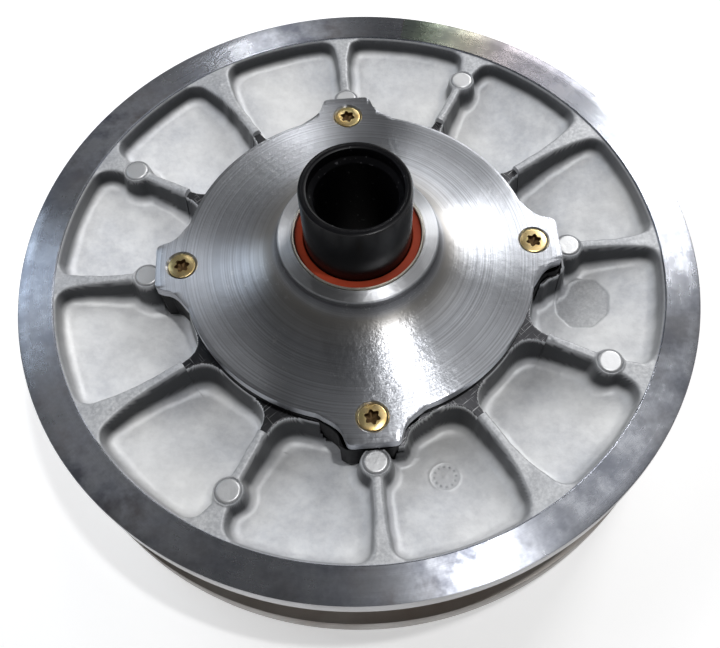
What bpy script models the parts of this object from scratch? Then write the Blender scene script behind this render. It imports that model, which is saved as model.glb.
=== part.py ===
"""Driven pulley of a belt variator: two facing sheaves on one post, closed by a spring, with a cam and three rollers.

Lengths are written in millimetres and scaled by MM when a mesh is made. The axis of the pulley is Z, the underside of
the post is at z = 0, and heights in the profiles are counted from RING_TOP, the machined ring of the upper sheave.
"""

import math

import bmesh
import bpy
from mathutils import Matrix

MM = 0.001
COLLECTION = "cvt_driven_pulley"

# Driving dimensions
RING_TOP = 68.0  # height of the moveable sheave's machined ring above the underside
SHEAVE_R = 145.0
RING_INNER_R = 130.2
RIM_THICK = 10.0
GROOVE_AT_RIM = 31.0  # width of the closed belt groove at the rim
FACE_SLOPE = math.tan(math.radians(14.0))  # half of the belt's included angle of 28 degrees
FACE_INNER_R = 85.5
FIXED_RING = -54.4  # height of the fixed sheave's lower ring, from RING_TOP
WALL = 6.3  # casting's wall behind the belt face

POST_R = 22.1
POST_TOP = 51.0
TRAVEL = 27.0  # shift from closed to fully open
TWIST = math.radians(30.0)  # turn of the moveable sheave over the whole shift
GAP = 0.3

DISC_R = 75.0  # cover between its lobes
COVER_LOW = 0.3
COVER_TOP = 5.5
BOSS_TOP = 20.5
SCREW_R = 75.0  # pitch radius of the cover screws
LAND = -3.0  # turned seat of the cam's plate on the sheave

CAM_INNER_R = 50.0
CAM_OUTER_R = 62.4
CAM_LOW = -47.5
EAR_LOW = -17.0
CAM_PLATE_LOW = -2.6
EAR_TURN = math.radians(-1.0)  # the cam's ears lie a little behind the cover's lobes
ROLLER_R = 8.0
ROLLER_Z = -11.8
ROLLER_IN, ROLLER_OUT = 49.4, 59.8
PIN_R = 4.0
ARM_ANGLES = tuple(math.radians(a) for a in (30.0, 150.0, 270.0))
SLOT_R = ROLLER_R + 0.5
SLOT_PAST_WALL = 1.6  # how far a slot's cutter runs past the cam's wall on each side
SLOT_SIDE_PIECES = 10  # enough that a flat facet stays close to the helix

SPRING_R = 30.6
SPRING_WIRE = 3.8
SPRING_TOP, SPRING_LOW = 0.2, -46.4
SPRING_END_TURNS = 0.75
SPRING_TURNS = 4.2

QUARTERS = tuple(math.radians(90.0 * k) for k in range(4))
RIBS = 12
PADS_INNER_R, PADS_OUTER_R, PAD_R = 91.0, 114.0, 5.0

BIG_STEPS, SMALL_STEPS, PIN_STEPS = 48, 28, 16

# One lobe's edge as (distance from the axis, half width), from its flat tip to where it meets the disc
LOBE_EDGE = ((86.0, 9.0), (85.2, 10.6), (83.0, 11.4), (80.4, 12.0), (77.8, 13.6), (75.6, 16.2), (73.4, 19.4))
EAR_EDGE = ((85.6, 9.8), (84.0, 12.0), (76.0, 12.5))


# ---------------------------------------------------------------------------------------------- scene and materials
def clear_scene():
    for obj in list(bpy.data.objects):
        bpy.data.objects.remove(obj, do_unlink=True)


def new_collection(name, hidden=False):
    collection = bpy.data.collections.new(name)
    collection.hide_render = hidden
    bpy.context.scene.collection.children.link(collection)
    return collection


def material(name, colour, metallic, roughness):
    made = bpy.data.materials.new(name)
    made.use_nodes = True
    shader = made.node_tree.nodes["Principled BSDF"]
    shader.inputs["Base Color"].default_value = (*colour, 1.0)
    shader.inputs["Metallic"].default_value = metallic
    shader.inputs["Roughness"].default_value = roughness
    return made


LOOKS = {
    "cast_aluminium": ((0.62, 0.63, 0.64), 0.9, 0.45),
    "turned_aluminium": ((0.72, 0.72, 0.73), 1.0, 0.25),
    "black_steel": ((0.02, 0.02, 0.022), 0.6, 0.35),
    "steel": ((0.45, 0.45, 0.46), 1.0, 0.35),
    "spring_steel": ((0.12, 0.12, 0.13), 0.9, 0.4),
    "yellow_zinc": ((0.75, 0.52, 0.2), 1.0, 0.25),
    "wear_liner": ((0.42, 0.09, 0.05), 0.0, 0.5),
    "bushing_shell": ((0.78, 0.72, 0.6), 0.8, 0.35),
    "bronze": ((0.6, 0.38, 0.16), 1.0, 0.35),
    "roller_polymer": ((0.7, 0.62, 0.45), 0.0, 0.5),
}


# ---------------------------------------------------------------------------------------------- shape helpers
def height(z):
    """Height above the underside, in metres, of a height counted from the upper ring in millimetres."""
    return (RING_TOP + z) * MM


def upper_face(r):
    """Belt face of the moveable sheave."""
    return -RIM_THICK - (SHEAVE_R - r) * FACE_SLOPE


def lower_face(r):
    """Belt face of the fixed sheave."""
    return -RIM_THICK - GROOVE_AT_RIM + (SHEAVE_R - r) * FACE_SLOPE


def evaluated_mesh(obj):
    bpy.context.view_layer.update()
    graph = bpy.context.evaluated_depsgraph_get()
    return bpy.data.meshes.new_from_object(obj.evaluated_get(graph), depsgraph=graph)


def tidy_mesh(mesh):
    """Merges doubled points and turns every face outwards."""
    shape = bmesh.new()
    shape.from_mesh(mesh)
    bmesh.ops.remove_doubles(shape, verts=shape.verts, dist=0.00002)
    bmesh.ops.recalc_face_normals(shape, faces=shape.faces)
    shape.to_mesh(mesh)
    shape.free()


def from_source(name, source, collection):
    """A mesh object made from a curve or from a mesh with modifiers, which it replaces."""
    mesh = evaluated_mesh(source)
    tidy_mesh(mesh)
    placed = source.matrix_world.copy()
    bpy.data.objects.remove(source, do_unlink=True)
    obj = bpy.data.objects.new(name, mesh)
    obj.matrix_world = placed
    collection.objects.link(obj)
    return obj


def turned(name, profile, collection, steps=BIG_STEPS):
    """A solid turned about Z from a closed profile of (radius, height), which runs down its outer side."""
    mesh = bpy.data.meshes.new(name)
    points = [(r * MM, 0.0, height(z)) for r, z in profile]
    edges = [(k, (k + 1) % len(points)) for k in range(len(points))]
    mesh.from_pydata(points, edges, [])
    source = bpy.data.objects.new(name + "_profile", mesh)
    collection.objects.link(source)
    screw = source.modifiers.new("Screw", "SCREW")
    screw.axis = "Z"
    screw.angle = 2.0 * math.pi
    screw.steps = steps
    screw.render_steps = steps
    screw.use_merge_vertices = True
    screw.merge_threshold = 0.00002
    return from_source(name, source, collection)


def plate(name, outline, low, high, collection):
    """A flat outline of (x, y) points, made into a solid between two heights."""
    curve = bpy.data.curves.new(name, "CURVE")
    curve.dimensions = "2D"
    curve.fill_mode = "BOTH"
    curve.extrude = (high - low) * MM / 2.0
    spline = curve.splines.new("POLY")
    spline.points.add(len(outline) - 1)
    for point, (x, y) in zip(spline.points, outline):
        point.co = (x * MM, y * MM, 0.0, 1.0)
    spline.use_cyclic_u = True
    source = bpy.data.objects.new(name + "_outline", curve)
    source.location.z = height((low + high) / 2.0)
    collection.objects.link(source)
    return from_source(name, source, collection)


def cylinder(name, radius, low, high, collection, at=(0.0, 0.0), sides=24, top_radius=None):
    """A cylinder or cone along Z between two heights."""
    bpy.ops.mesh.primitive_cone_add(
        vertices=sides,
        radius1=radius * MM,
        radius2=(radius if top_radius is None else top_radius) * MM,
        depth=(high - low) * MM,
        location=(at[0] * MM, at[1] * MM, height((low + high) / 2.0)),
    )
    obj = bpy.context.object
    obj.name = name
    move_to(obj, collection)
    return obj


def move_to(obj, collection):
    for old in list(obj.users_collection):
        old.objects.unlink(obj)
    collection.objects.link(obj)


def boolean(obj, others, operation):
    """Adds one EXACT Boolean for each helper in others and hides the helpers."""
    for other in others:
        modifier = obj.modifiers.new(operation.title(), "BOOLEAN")
        modifier.operation = operation
        modifier.solver = "EXACT"
        modifier.object = other
        other.hide_render = True
        other.display_type = "WIRE"


def cut(obj, cutters):
    boolean(obj, cutters, "DIFFERENCE")


def join(obj, others):
    boolean(obj, others, "UNION")


def finish(obj, look, smooth_angle=35.0):
    """Names the material and shades the round faces smooth."""
    colour, metallic, roughness = LOOKS[look]
    obj.data.materials.clear()
    obj.data.materials.append(material(obj.name + "_" + look, colour, metallic, roughness))
    obj.data.shade_smooth()
    obj.data.set_sharp_from_angle(angle=math.radians(smooth_angle))
    return obj


def polar(r, angle):
    return r * math.cos(angle), r * math.sin(angle)


def turn_point(point, angle):
    x, y = point
    return x * math.cos(angle) - y * math.sin(angle), x * math.sin(angle) + y * math.cos(angle)


def rounded(corners, radii, pieces=2):
    """The outline through corners, each one rounded by an arc of its radius."""
    outline = []
    count = len(corners)
    for k, (x, y) in enumerate(corners):
        before, after = corners[k - 1], corners[(k + 1) % count]
        to_before = (before[0] - x, before[1] - y)
        to_after = (after[0] - x, after[1] - y)
        length_before, length_after = math.hypot(*to_before), math.hypot(*to_after)
        a = (to_before[0] / length_before, to_before[1] / length_before)
        b = (to_after[0] / length_after, to_after[1] / length_after)
        half = math.acos(max(-1.0, min(1.0, a[0] * b[0] + a[1] * b[1]))) / 2.0
        reach = min(radii[k] / math.tan(half), 0.49 * length_before, 0.49 * length_after)
        start = (x + a[0] * reach, y + a[1] * reach)
        end = (x + b[0] * reach, y + b[1] * reach)
        for i in range(pieces + 1):
            t = i / pieces
            p = ((1 - t) * start[0] + t * x, (1 - t) * start[1] + t * y)
            q = ((1 - t) * x + t * end[0], (1 - t) * y + t * end[1])
            outline.append(((1 - t) * p[0] + t * q[0], (1 - t) * p[1] + t * q[1]))
    return outline


def loft(name, rings, floor_centre, collection):
    """A closed cutter through rings of points, with a flat lid and a floor that meets at one point."""
    shape = bmesh.new()
    rows = [[shape.verts.new((x * MM, y * MM, height(z))) for x, y, z in ring] for ring in rings]
    for upper, lower in zip(rows, rows[1:]):
        for k in range(len(upper)):
            n = (k + 1) % len(upper)
            shape.faces.new((upper[k], upper[n], lower[n], lower[k]))
    shape.faces.new(rows[0])
    x, y, z = floor_centre
    centre = shape.verts.new((x * MM, y * MM, height(z)))
    for k in range(len(rows[-1])):
        shape.faces.new((rows[-1][k], rows[-1][(k + 1) % len(rows[-1])], centre))
    bmesh.ops.recalc_face_normals(shape, faces=shape.faces)
    mesh = bpy.data.meshes.new(name)
    shape.to_mesh(mesh)
    shape.free()
    obj = bpy.data.objects.new(name, mesh)
    collection.objects.link(obj)
    return obj


# ---------------------------------------------------------------------------------------------- pockets of a sheave
RIB_HALF = 1.9
POCKET_OUTER_R = 129.4
ROUND_FOOT = ((2.2, 2.6), (4.6, 0.0))
PLAIN_FOOT = ((3.2, 0.0),)
# (radius where a rib starts to flare, half width at the ring) by the rib's kind
FLARES = {"lobe": (120.5, 4.6), "pad": (119.0, 6.2), "plain": (113.5, 8.0)}
RIB_KINDS = ("lobe", "plain", "pad")


def pocket_outline(inner_r, before, after, inset):
    """A pocket between two ribs, seen along Z, with its middle on +X. before and after are the ribs' flares."""
    half_pitch = math.pi / RIBS
    half = RIB_HALF + inset
    outer = POCKET_OUTER_R - inset
    sides = []
    for start, flare in (before, after):
        inner_x = inner_r + inset
        along = (inner_x - half * math.sin(half_pitch)) / math.cos(half_pitch)
        corner = half_pitch - (flare + inset) / outer
        side = [
            turn_point((along, -half), half_pitch),
            turn_point((start, -half), half_pitch),
            polar(outer, corner),
            polar(outer, corner / 2.0),
        ]
        sides.append(side)
    lower = [(x, -y) for x, y in sides[0]]
    corners = lower + [(outer, 0.0)] + list(reversed(sides[1]))
    inner_round = max(11.0 - inset, 3.0)
    radii = [inner_round, 6.0, 6.0, 0.0, 0.0, 0.0, 6.0, 6.0, inner_round]
    flat = {3, 4, 5}
    outline = []
    rounded_points = rounded(corners, [max(r, 0.01) for r in radii])
    for k in range(len(corners)):
        if k in flat:
            outline.append(corners[k])
        else:
            outline += rounded_points[3 * k : 3 * k + 3]
    return outline


def pocket_cutter(name, middle, inner_r, before, after, top, floor, foot, collection):
    """The space of one pocket. floor gives its height at a radius, and top is past the sheave's open side.

    foot lists (inset of the outline, height above the floor) down the rounded foot of the wall.
    """
    side = 1.0 if top > floor(100.0) else -1.0
    rings = []
    for inset, above in ((-0.3, None), *foot):
        ring = []
        for point in pocket_outline(inner_r, before, after, inset):
            x, y = turn_point(point, middle)
            z = top if above is None else floor(math.hypot(x, y)) + side * above
            ring.append((x, y, z))
        rings.append(ring)
    centre_r = 0.5 * (inner_r + POCKET_OUTER_R)
    centre = (*polar(centre_r, middle), floor(centre_r))
    return loft(name, rings, centre, collection)


def pocket_cutters(name, inner_r, top, floor, foot, collection):
    cutters = []
    for k in range(RIBS):
        before, after = FLARES[RIB_KINDS[k % 3]], FLARES[RIB_KINDS[(k + 1) % 3]]
        middle = (k + 0.5) * 2.0 * math.pi / RIBS
        cutter = pocket_cutter(f"{name}_{k + 1}", middle, inner_r, before, after, top, floor, foot, collection)
        cutters.append(cutter)
    return cutters


# ---------------------------------------------------------------------------------------------- sheaves
MOVE_HUB_IN, MOVE_HUB_OUT, MOVE_HUB_TOP = 25.3, 28.0, -36.0
MOVE_POT_IN, MOVE_POT_OUT = 63.0, 69.5
MOVE_FLOOR_TOP, MOVE_FLOOR_LOW = -49.0, -54.0
MOVE_POCKET_IN = 75.5
FIXED_POT_IN, FIXED_POT_OUT = 72.0, 78.0
FIXED_FLOOR_TOP, FIXED_FLOOR_LOW = -56.8, -62.7
FIXED_POCKET_IN = 84.5


def moveable_sheave(parts, cutters):
    profile = [
        (90.0, -0.6),
        (RING_INNER_R, -0.6),
        (RING_INNER_R + 0.6, 0.0),
        (SHEAVE_R - 0.8, 0.0),
        (SHEAVE_R, -0.8),
        (SHEAVE_R, upper_face(SHEAVE_R)),
        (FACE_INNER_R, upper_face(FACE_INNER_R)),
        (72.0, -27.4),
        (MOVE_POT_OUT, -29.9),
        (MOVE_POT_OUT, MOVE_FLOOR_LOW),
        (MOVE_HUB_IN, MOVE_FLOOR_LOW),
        (MOVE_HUB_IN, MOVE_HUB_TOP),
        (MOVE_HUB_OUT, MOVE_HUB_TOP),
        (MOVE_HUB_OUT, MOVE_FLOOR_TOP),
        (MOVE_POT_IN, MOVE_FLOOR_TOP),
        (MOVE_POT_IN, LAND),
        (90.0, LAND),
    ]
    sheave = turned("moveable_sheave", profile, parts)
    floor = lambda r: upper_face(r) + WALL
    cut(sheave, pocket_cutters("upper_pocket", MOVE_POCKET_IN, 2.0, floor, ROUND_FOOT, cutters))
    cut(sheave, [octagon_recess(floor, cutters)])
    join(sheave, rib_pads(cutters) + lobe_seats(cutters))
    cut(sheave, ear_notches(cutters) + screw_holes("sheave_thread", 3.3, -24.0, -10.0, cutters))
    return finish(sheave, "cast_aluminium")


def octagon_recess(floor, cutters):
    """Shallow blank pad in the floor of one pocket."""
    at = polar(98.0, math.radians(-13.5))
    depth = floor(98.0)
    recess = cylinder("octagon_recess", 10.5, depth - 0.5, depth + 3.0, cutters, at, sides=8)
    recess.rotation_euler = (0.0, math.atan(FACE_SLOPE), math.radians(-13.5 + 22.5))
    return recess


def rib_pads(cutters):
    pads = []
    for quarter in QUARTERS:
        for number, (r, angle) in enumerate(((PADS_INNER_R, 0.0), (PADS_OUTER_R, math.radians(60.0)))):
            at = polar(r, quarter + angle)
            low = upper_face(r) + 3.0
            name = f"pad_{number}_{len(pads)}"
            pads.append(cylinder(name, PAD_R + 1.0, low, -0.2, cutters, at, sides=12, top_radius=PAD_R))
    return pads


def lobe_seats(cutters):
    """Wall on one side of each ear of the cam, as high as the land."""
    seats = []
    for number, quarter in enumerate(QUARTERS):
        corners = ((70.0, 5.0), (84.5, 5.0), (84.5, 12.0), (83.0, 13.0), (78.0, 14.2), (72.0, 21.0))
        outline = [turn_point(point, quarter) for point in corners]
        seats.append(plate(f"lobe_seat_{number}", outline, -21.0, LAND - 0.3, cutters))
    return seats


def ear_outline(quarter, inner_r, clearance=0.0):
    """One ear of the cam, seen along Z."""
    edge = [(r + clearance, w + clearance) for r, w in EAR_EDGE]
    lobe = [(inner_r, -edge[-1][1])] + [(r, -w) for r, w in reversed(edge)] + edge + [(inner_r, edge[-1][1])]
    return [turn_point(point, quarter + EAR_TURN) for point in lobe]


def ear_notches(cutters):
    """Clearance for the cam's four ears."""
    notches = []
    for number, quarter in enumerate(QUARTERS):
        notch = ear_outline(quarter, 60.0, GAP + 0.05)
        notches.append(plate(f"ear_notch_{number}", notch, EAR_LOW - 0.4, 3.0, cutters))
    return notches


def screw_holes(name, radius, low, high, cutters):
    return [
        cylinder(f"{name}_{number}", radius, low, high, cutters, polar(SCREW_R, quarter), sides=12)
        for number, quarter in enumerate(QUARTERS)
    ]


def fixed_sheave(parts, cutters):
    profile = [
        (POST_R + GAP, FIXED_FLOOR_TOP),
        (FIXED_POT_IN, FIXED_FLOOR_TOP),
        (FIXED_POT_IN, -30.8),
        (75.0, -28.2),
        (FACE_INNER_R, lower_face(FACE_INNER_R)),
        (SHEAVE_R, lower_face(SHEAVE_R)),
        (SHEAVE_R, FIXED_RING + 0.8),
        (SHEAVE_R - 0.8, FIXED_RING),
        (RING_INNER_R, FIXED_RING),
        (RING_INNER_R - 0.6, FIXED_RING + 0.6),
        (FIXED_POT_OUT, FIXED_RING + 0.6),
        (FIXED_POT_OUT - 1.5, FIXED_FLOOR_LOW),
        (POST_R + GAP, FIXED_FLOOR_LOW),
    ]
    sheave = turned("fixed_sheave", profile, parts)
    floor = lambda r: lower_face(r) - WALL
    cut(sheave, pocket_cutters("lower_pocket", FIXED_POCKET_IN, FIXED_RING - 2.0, floor, PLAIN_FOOT, cutters))
    holes = [
        cylinder(f"flange_hole_{k}", FLANGE_SCREW_R + GAP, -66.0, -54.0, cutters, at, sides=12)
        for k, at in enumerate(flange_screw_places())
    ]
    cut(sheave, holes)
    return finish(sheave, "cast_aluminium")


# ---------------------------------------------------------------------------------------------- post and its screws
FLANGE_R, FLANGE_TOP = 38.0, 5.0
FLANGE_SCREW_PITCH_R, FLANGE_SCREW_R, FLANGE_HEAD_R = 30.5, 2.5, 4.8
SPLINE_TEETH, SPLINE_MINOR_R, SPLINE_MAJOR_R, SPLINE_HIGH = 16, 12.4, 13.8, 34.0
BORE_R, MOUTH_R, MOUTH_DEPTH = 16.6, 18.7, 5.0
RING_GROOVE = (6.0, 8.0)


def from_base(z):
    """A height above the underside, counted from the upper ring."""
    return z - RING_TOP


def flange_screw_places():
    return [polar(FLANGE_SCREW_PITCH_R, math.radians(60.0 * k)) for k in range(6)]


def post(parts, cutters):
    groove_low, groove_high = RING_GROOVE
    profile = [
        (MOUTH_R + 0.6, POST_TOP),
        (POST_R - 0.6, POST_TOP),
        (POST_R, POST_TOP - 0.6),
        (POST_R, groove_high),
        (POST_R - 1.1, groove_high),
        (POST_R - 1.1, groove_low),
        (POST_R, groove_low),
        (POST_R, from_base(FLANGE_TOP)),
        (FLANGE_R, from_base(FLANGE_TOP)),
        (FLANGE_R, from_base(0.0)),
        (SPLINE_MINOR_R, from_base(0.0)),
        (SPLINE_MINOR_R, from_base(SPLINE_HIGH + 2.0)),
        (BORE_R, from_base(SPLINE_HIGH + 4.0)),
        (BORE_R, POST_TOP - MOUTH_DEPTH - 1.5),
        (MOUTH_R, POST_TOP - MOUTH_DEPTH),
        (MOUTH_R, POST_TOP - 0.6),
    ]
    tube = turned("post", profile, parts, SMALL_STEPS)
    outline = []
    pitch = 2.0 * math.pi / SPLINE_TEETH
    root_r = SPLINE_MINOR_R - 1.0
    tooth_corners = ((root_r, -0.3), (SPLINE_MAJOR_R, -0.2), (SPLINE_MAJOR_R, 0.2), (root_r, 0.3))
    for tooth in range(SPLINE_TEETH):
        middle = pitch * tooth
        for r, share in tooth_corners:
            outline.append(polar(r, middle + share * pitch))
    cut(tube, [plate("spline_cutter", outline, from_base(-3.0), from_base(SPLINE_HIGH), cutters)])
    heads = []
    for k, at in enumerate(flange_screw_places()):
        low, cone_top = from_base(-0.5), from_base(3.6)
        hole_r = FLANGE_SCREW_R + GAP
        heads.append(cylinder(f"flange_sink_{k}", FLANGE_HEAD_R + 0.8, low, cone_top, cutters, at, 12, hole_r))
        heads.append(cylinder(f"flange_clear_{k}", hole_r, low, from_base(8.0), cutters, at, 12))
    cut(tube, heads)
    return finish(tube, "black_steel")


def flange_screws(parts, cutters):
    """Flat-head screws from below, through the post's flange into the fixed sheave."""
    for k, at in enumerate(flange_screw_places()):
        low, head_top, tip = from_base(0.3), from_base(3.2), from_base(10.6)
        screw = cylinder(f"flange_screw_{k + 1}", FLANGE_HEAD_R, low, head_top, parts, at, 16, FLANGE_SCREW_R)
        shank = cylinder(f"flange_shank_{k + 1}", FLANGE_SCREW_R, head_top - 1.0, tip, cutters, at, 16)
        join(screw, [shank])
        socket = cylinder(f"flange_socket_{k + 1}", 1.9, low - 1.0, low + 1.6, cutters, at, 6)
        cut(screw, [socket])
        finish(screw, "steel")


# ---------------------------------------------------------------------------------------------- cam and cover
def slot_cutter(name, start, cutters):
    """One helical slot, open at the cam's lower end, with walls that a radial roller can follow."""
    inner, outer = CAM_INNER_R - SLOT_PAST_WALL, CAM_OUTER_R + SLOT_PAST_WALL
    past_end = 1.5
    rings = []
    for r in (outer, inner):
        run = r * TWIST / TRAVEL
        length = math.hypot(run, 1.0)
        along = (-run / length, -1.0 / length)
        across = (along[1], -along[0])
        end = (-run * TRAVEL * past_end, ROLLER_Z - TRAVEL * past_end)
        outline = [(end[0] - SLOT_R * across[0], end[1] - SLOT_R * across[1])]
        for k in range(9):
            turn = math.pi * k / 8.0
            u = -SLOT_R * (math.cos(turn) * across[0] + math.sin(turn) * along[0])
            w = -SLOT_R * (math.cos(turn) * across[1] + math.sin(turn) * along[1])
            outline.append((u, ROLLER_Z + w))
        outline.append((end[0] + SLOT_R * across[0], end[1] + SLOT_R * across[1]))
        # Points between the ends of the straight sides keep the walls on the helix
        outline = with_side_points(outline, SLOT_SIDE_PIECES)
        rings.append([(*polar(r, start + u / r), z) for u, z in outline])
    return wrapped_cutter(name, rings, cutters)


def with_side_points(outline, pieces):
    first, second, before_last, last = outline[0], outline[1], outline[-2], outline[-1]
    lead = [mix(first, second, k / pieces) for k in range(pieces)]
    tail = [mix(before_last, last, k / pieces) for k in range(1, pieces + 1)]
    return lead + outline[1:-1] + tail


def mix(a, b, t):
    return tuple((1.0 - t) * x + t * y for x, y in zip(a, b))


def wrapped_cutter(name, rings, cutters):
    """A closed cutter between two rings of points that face each other across the cam's wall."""
    shape = bmesh.new()
    rows = [[shape.verts.new((x * MM, y * MM, height(z))) for x, y, z in ring] for ring in rings]
    count = len(rows[0])
    for k in range(count):
        n = (k + 1) % count
        shape.faces.new((rows[0][k], rows[0][n], rows[1][n], rows[1][k]))
    for row in rows:
        # The lids are strips across the slot, because a single face would not follow the helix
        for k in range(count // 2):
            far = count - 1 - k
            if far - k > 2:
                shape.faces.new((row[k], row[k + 1], row[far - 1], row[far]))
            elif far - k == 2:
                shape.faces.new((row[k], row[k + 1], row[far]))
    bmesh.ops.recalc_face_normals(shape, faces=shape.faces)
    mesh = bpy.data.meshes.new(name)
    shape.to_mesh(mesh)
    shape.free()
    obj = bpy.data.objects.new(name, mesh)
    cutters.objects.link(obj)
    return obj


def cam(parts, cutters):
    """Ring with three helical slots, a thin plate below the cover and four ears below its lobes."""
    plate_r = DISC_R - 0.6
    profile = [
        (CAM_INNER_R, 0.0),
        (plate_r, 0.0),
        (plate_r, CAM_PLATE_LOW),
        (CAM_OUTER_R, CAM_PLATE_LOW),
        (CAM_OUTER_R, CAM_LOW),
        (CAM_INNER_R, CAM_LOW),
    ]
    ring = turned("cam", profile, parts)
    ears = []
    for number, quarter in enumerate(QUARTERS):
        ears.append(plate(f"cam_ear_{number}", ear_outline(quarter, CAM_OUTER_R - 5.0), EAR_LOW, 0.0, cutters))
    join(ring, ears)
    cut(ring, [slot_cutter(f"cam_slot_{k}", angle, cutters) for k, angle in enumerate(ARM_ANGLES)])
    cut(ring, screw_holes("cam_clear", 3.4, -20.0, 3.0, cutters))
    return finish(ring, "black_steel")


BUSH_SHELL_IN, BUSH_SHELL_OUT = 26.2, 27.0
BOSS_BORE, BOSS_R = 27.2, 33.3
BUSH_LOW = 9.2


def cover(parts, cutters):
    """Bell-shaped cap. Its inner side follows the outer one at about 4 mm."""
    profile = [
        (BOSS_BORE, BOSS_TOP),
        (BOSS_R - 0.6, BOSS_TOP),
        (BOSS_R, BOSS_TOP - 0.6),
        (33.6, 16.8),
        (35.2, 13.8),
        (38.2, 11.1),
        (43.0, 8.9),
        (50.0, 7.1),
        (57.0, 6.1),
        (64.0, COVER_TOP),
        (DISC_R, COVER_TOP),
        (DISC_R, COVER_LOW),
        (51.5, COVER_LOW),
        (50.6, 2.8),
        (42.0, 5.6),
        (36.0, 9.0),
        (BOSS_BORE, 9.0),
    ]
    cap = turned("cover", profile, parts)
    lobes = []
    for number, quarter in enumerate(QUARTERS):
        base = [(69.0, -19.4), *((r, -w) for r, w in reversed(LOBE_EDGE)), *LOBE_EDGE, (69.0, 19.4)]
        outline = [turn_point(point, quarter) for point in base]
        lobes.append(plate(f"cover_lobe_{number}", outline, COVER_LOW, COVER_TOP, cutters))
    join(cap, lobes)
    sinks = []
    for number, quarter in enumerate(QUARTERS):
        at = polar(SCREW_R, quarter)
        sinks.append(cylinder(f"cover_sink_{number}", 3.4, 1.6, COVER_TOP + 0.6, cutters, at, 20, 7.1))
    cut(cap, screw_holes("cover_clear", 3.4, -3.0, 3.0, cutters) + sinks)
    return finish(cap, "turned_aluminium")


def six_lobe(radius, at, turn=0.0):
    """Outline of a six-lobe driver recess."""
    outline = []
    for k in range(24):
        angle = 2.0 * math.pi * k / 24.0
        r = radius * (0.86 + 0.14 * math.cos(6.0 * angle))
        x, y = polar(r, angle + turn)
        outline.append((at[0] + x, at[1] + y))
    return outline


def cover_screws(parts, cutters):
    for number, quarter in enumerate(QUARTERS):
        at = polar(SCREW_R, quarter)
        top = COVER_TOP - 0.2
        name = f"cover_screw_{number + 1}"
        screw = cylinder(name, 5.9, top - 0.3, top, parts, at, 20)
        cone = cylinder(name + "_cone", 3.0, top - 3.3, top - 0.2, cutters, at, 20, 5.9)
        shank = cylinder(name + "_shank", 2.95, -23.5, top - 3.0, cutters, at, 12)
        join(screw, [cone, shank])
        cut(screw, [plate(name + "_recess", six_lobe(3.1, at, quarter + 0.2), top - 2.4, top + 1.0, cutters)])
        finish(screw, "yellow_zinc")


def bushings(parts):
    shell_top, liner_top = BOSS_TOP + 0.4, BOSS_TOP - 0.9
    shell = [(BUSH_SHELL_IN, shell_top), (BUSH_SHELL_OUT, shell_top), (BUSH_SHELL_OUT, BUSH_LOW), (BUSH_SHELL_IN, BUSH_LOW)]
    liner = [(POST_R + GAP, liner_top), (26.0, liner_top), (26.0, BUSH_LOW), (POST_R + GAP, BUSH_LOW)]
    low, high = MOVE_FLOOR_LOW + 0.2, MOVE_HUB_TOP - 0.2
    lower = [(POST_R + GAP, high), (MOVE_HUB_IN - GAP, high), (MOVE_HUB_IN - GAP, low), (POST_R + GAP, low)]
    finish(turned("bushing_shell", shell, parts, SMALL_STEPS), "bushing_shell")
    finish(turned("bushing_liner", liner, parts, SMALL_STEPS), "wear_liner")
    finish(turned("lower_bushing", lower, parts, SMALL_STEPS), "bronze")


# ---------------------------------------------------------------------------------------------- spider and rollers
ARM_END, ARM_HALF, ARM_LOW = 48.6, 8.0, -20.0
SPIDER_HUB_R, SPIDER_FLANGE_R = 27.5, 34.5


def radial_turned(name, profile, angle, collection, steps=24):
    """A solid turned about a radial line at the rollers' height. profile is (radius, distance from Z)."""
    obj = turned(name, [(r, s - RING_TOP) for r, s in profile], collection, steps)
    obj.data.transform(Matrix.Translation((0.0, 0.0, -ROLLER_IN * MM)))
    obj.rotation_euler = (0.0, math.pi / 2.0, angle)
    x, y = polar(ROLLER_IN, angle)
    obj.location = (x * MM, y * MM, height(ROLLER_Z))
    return obj


def spider(parts, cutters):
    inner = POST_R + GAP
    profile = [
        (inner, 6.0),
        (31.0, 6.0),
        (SPIDER_FLANGE_R, 5.0),
        (SPIDER_FLANGE_R, 0.5),
        (SPIDER_HUB_R, 0.5),
        (SPIDER_HUB_R, -8.0),
        (inner, -8.0),
    ]
    hub = turned("spider", profile, parts, SMALL_STEPS)
    side = [(32.0, 5.0), (38.0, 5.0), (ARM_END, 2.0), (ARM_END, ARM_LOW), (36.0, ARM_LOW), (36.0, 0.5), (32.0, 0.5)]
    arms = []
    for k, angle in enumerate(ARM_ANGLES):
        arm = plate(f"spider_arm_{k}", side, -RING_TOP - ARM_HALF, -RING_TOP + ARM_HALF, cutters)
        arm.data.transform(Matrix.Rotation(math.pi / 2.0, 4, "X"))
        arm.rotation_euler = (0.0, 0.0, angle)
        arm.location.z = height(0.0)
        arms.append(arm)
    join(hub, arms)
    bores = []
    for k, angle in enumerate(ARM_ANGLES):
        bore = [(0.0, 52.0), (PIN_R + 0.2, 52.0), (PIN_R + 0.2, 33.0), (0.0, 33.0)]
        bores.append(radial_turned(f"pin_bore_{k}", bore, angle, cutters, PIN_STEPS))
    cut(hub, bores)
    return finish(hub, "steel")


def spider_ring(parts, cutters):
    ring = turned("spider_ring", [(21.3, 7.7), (25.0, 7.7), (25.0, 6.3), (21.3, 6.3)], parts, SMALL_STEPS)
    split = plate("ring_split", [(15.0, -2.0), (30.0, -2.0), (30.0, 2.0), (15.0, 2.0)], 4.0, 10.0, cutters)
    cut(ring, [split])
    return finish(ring, "spring_steel")


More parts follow.
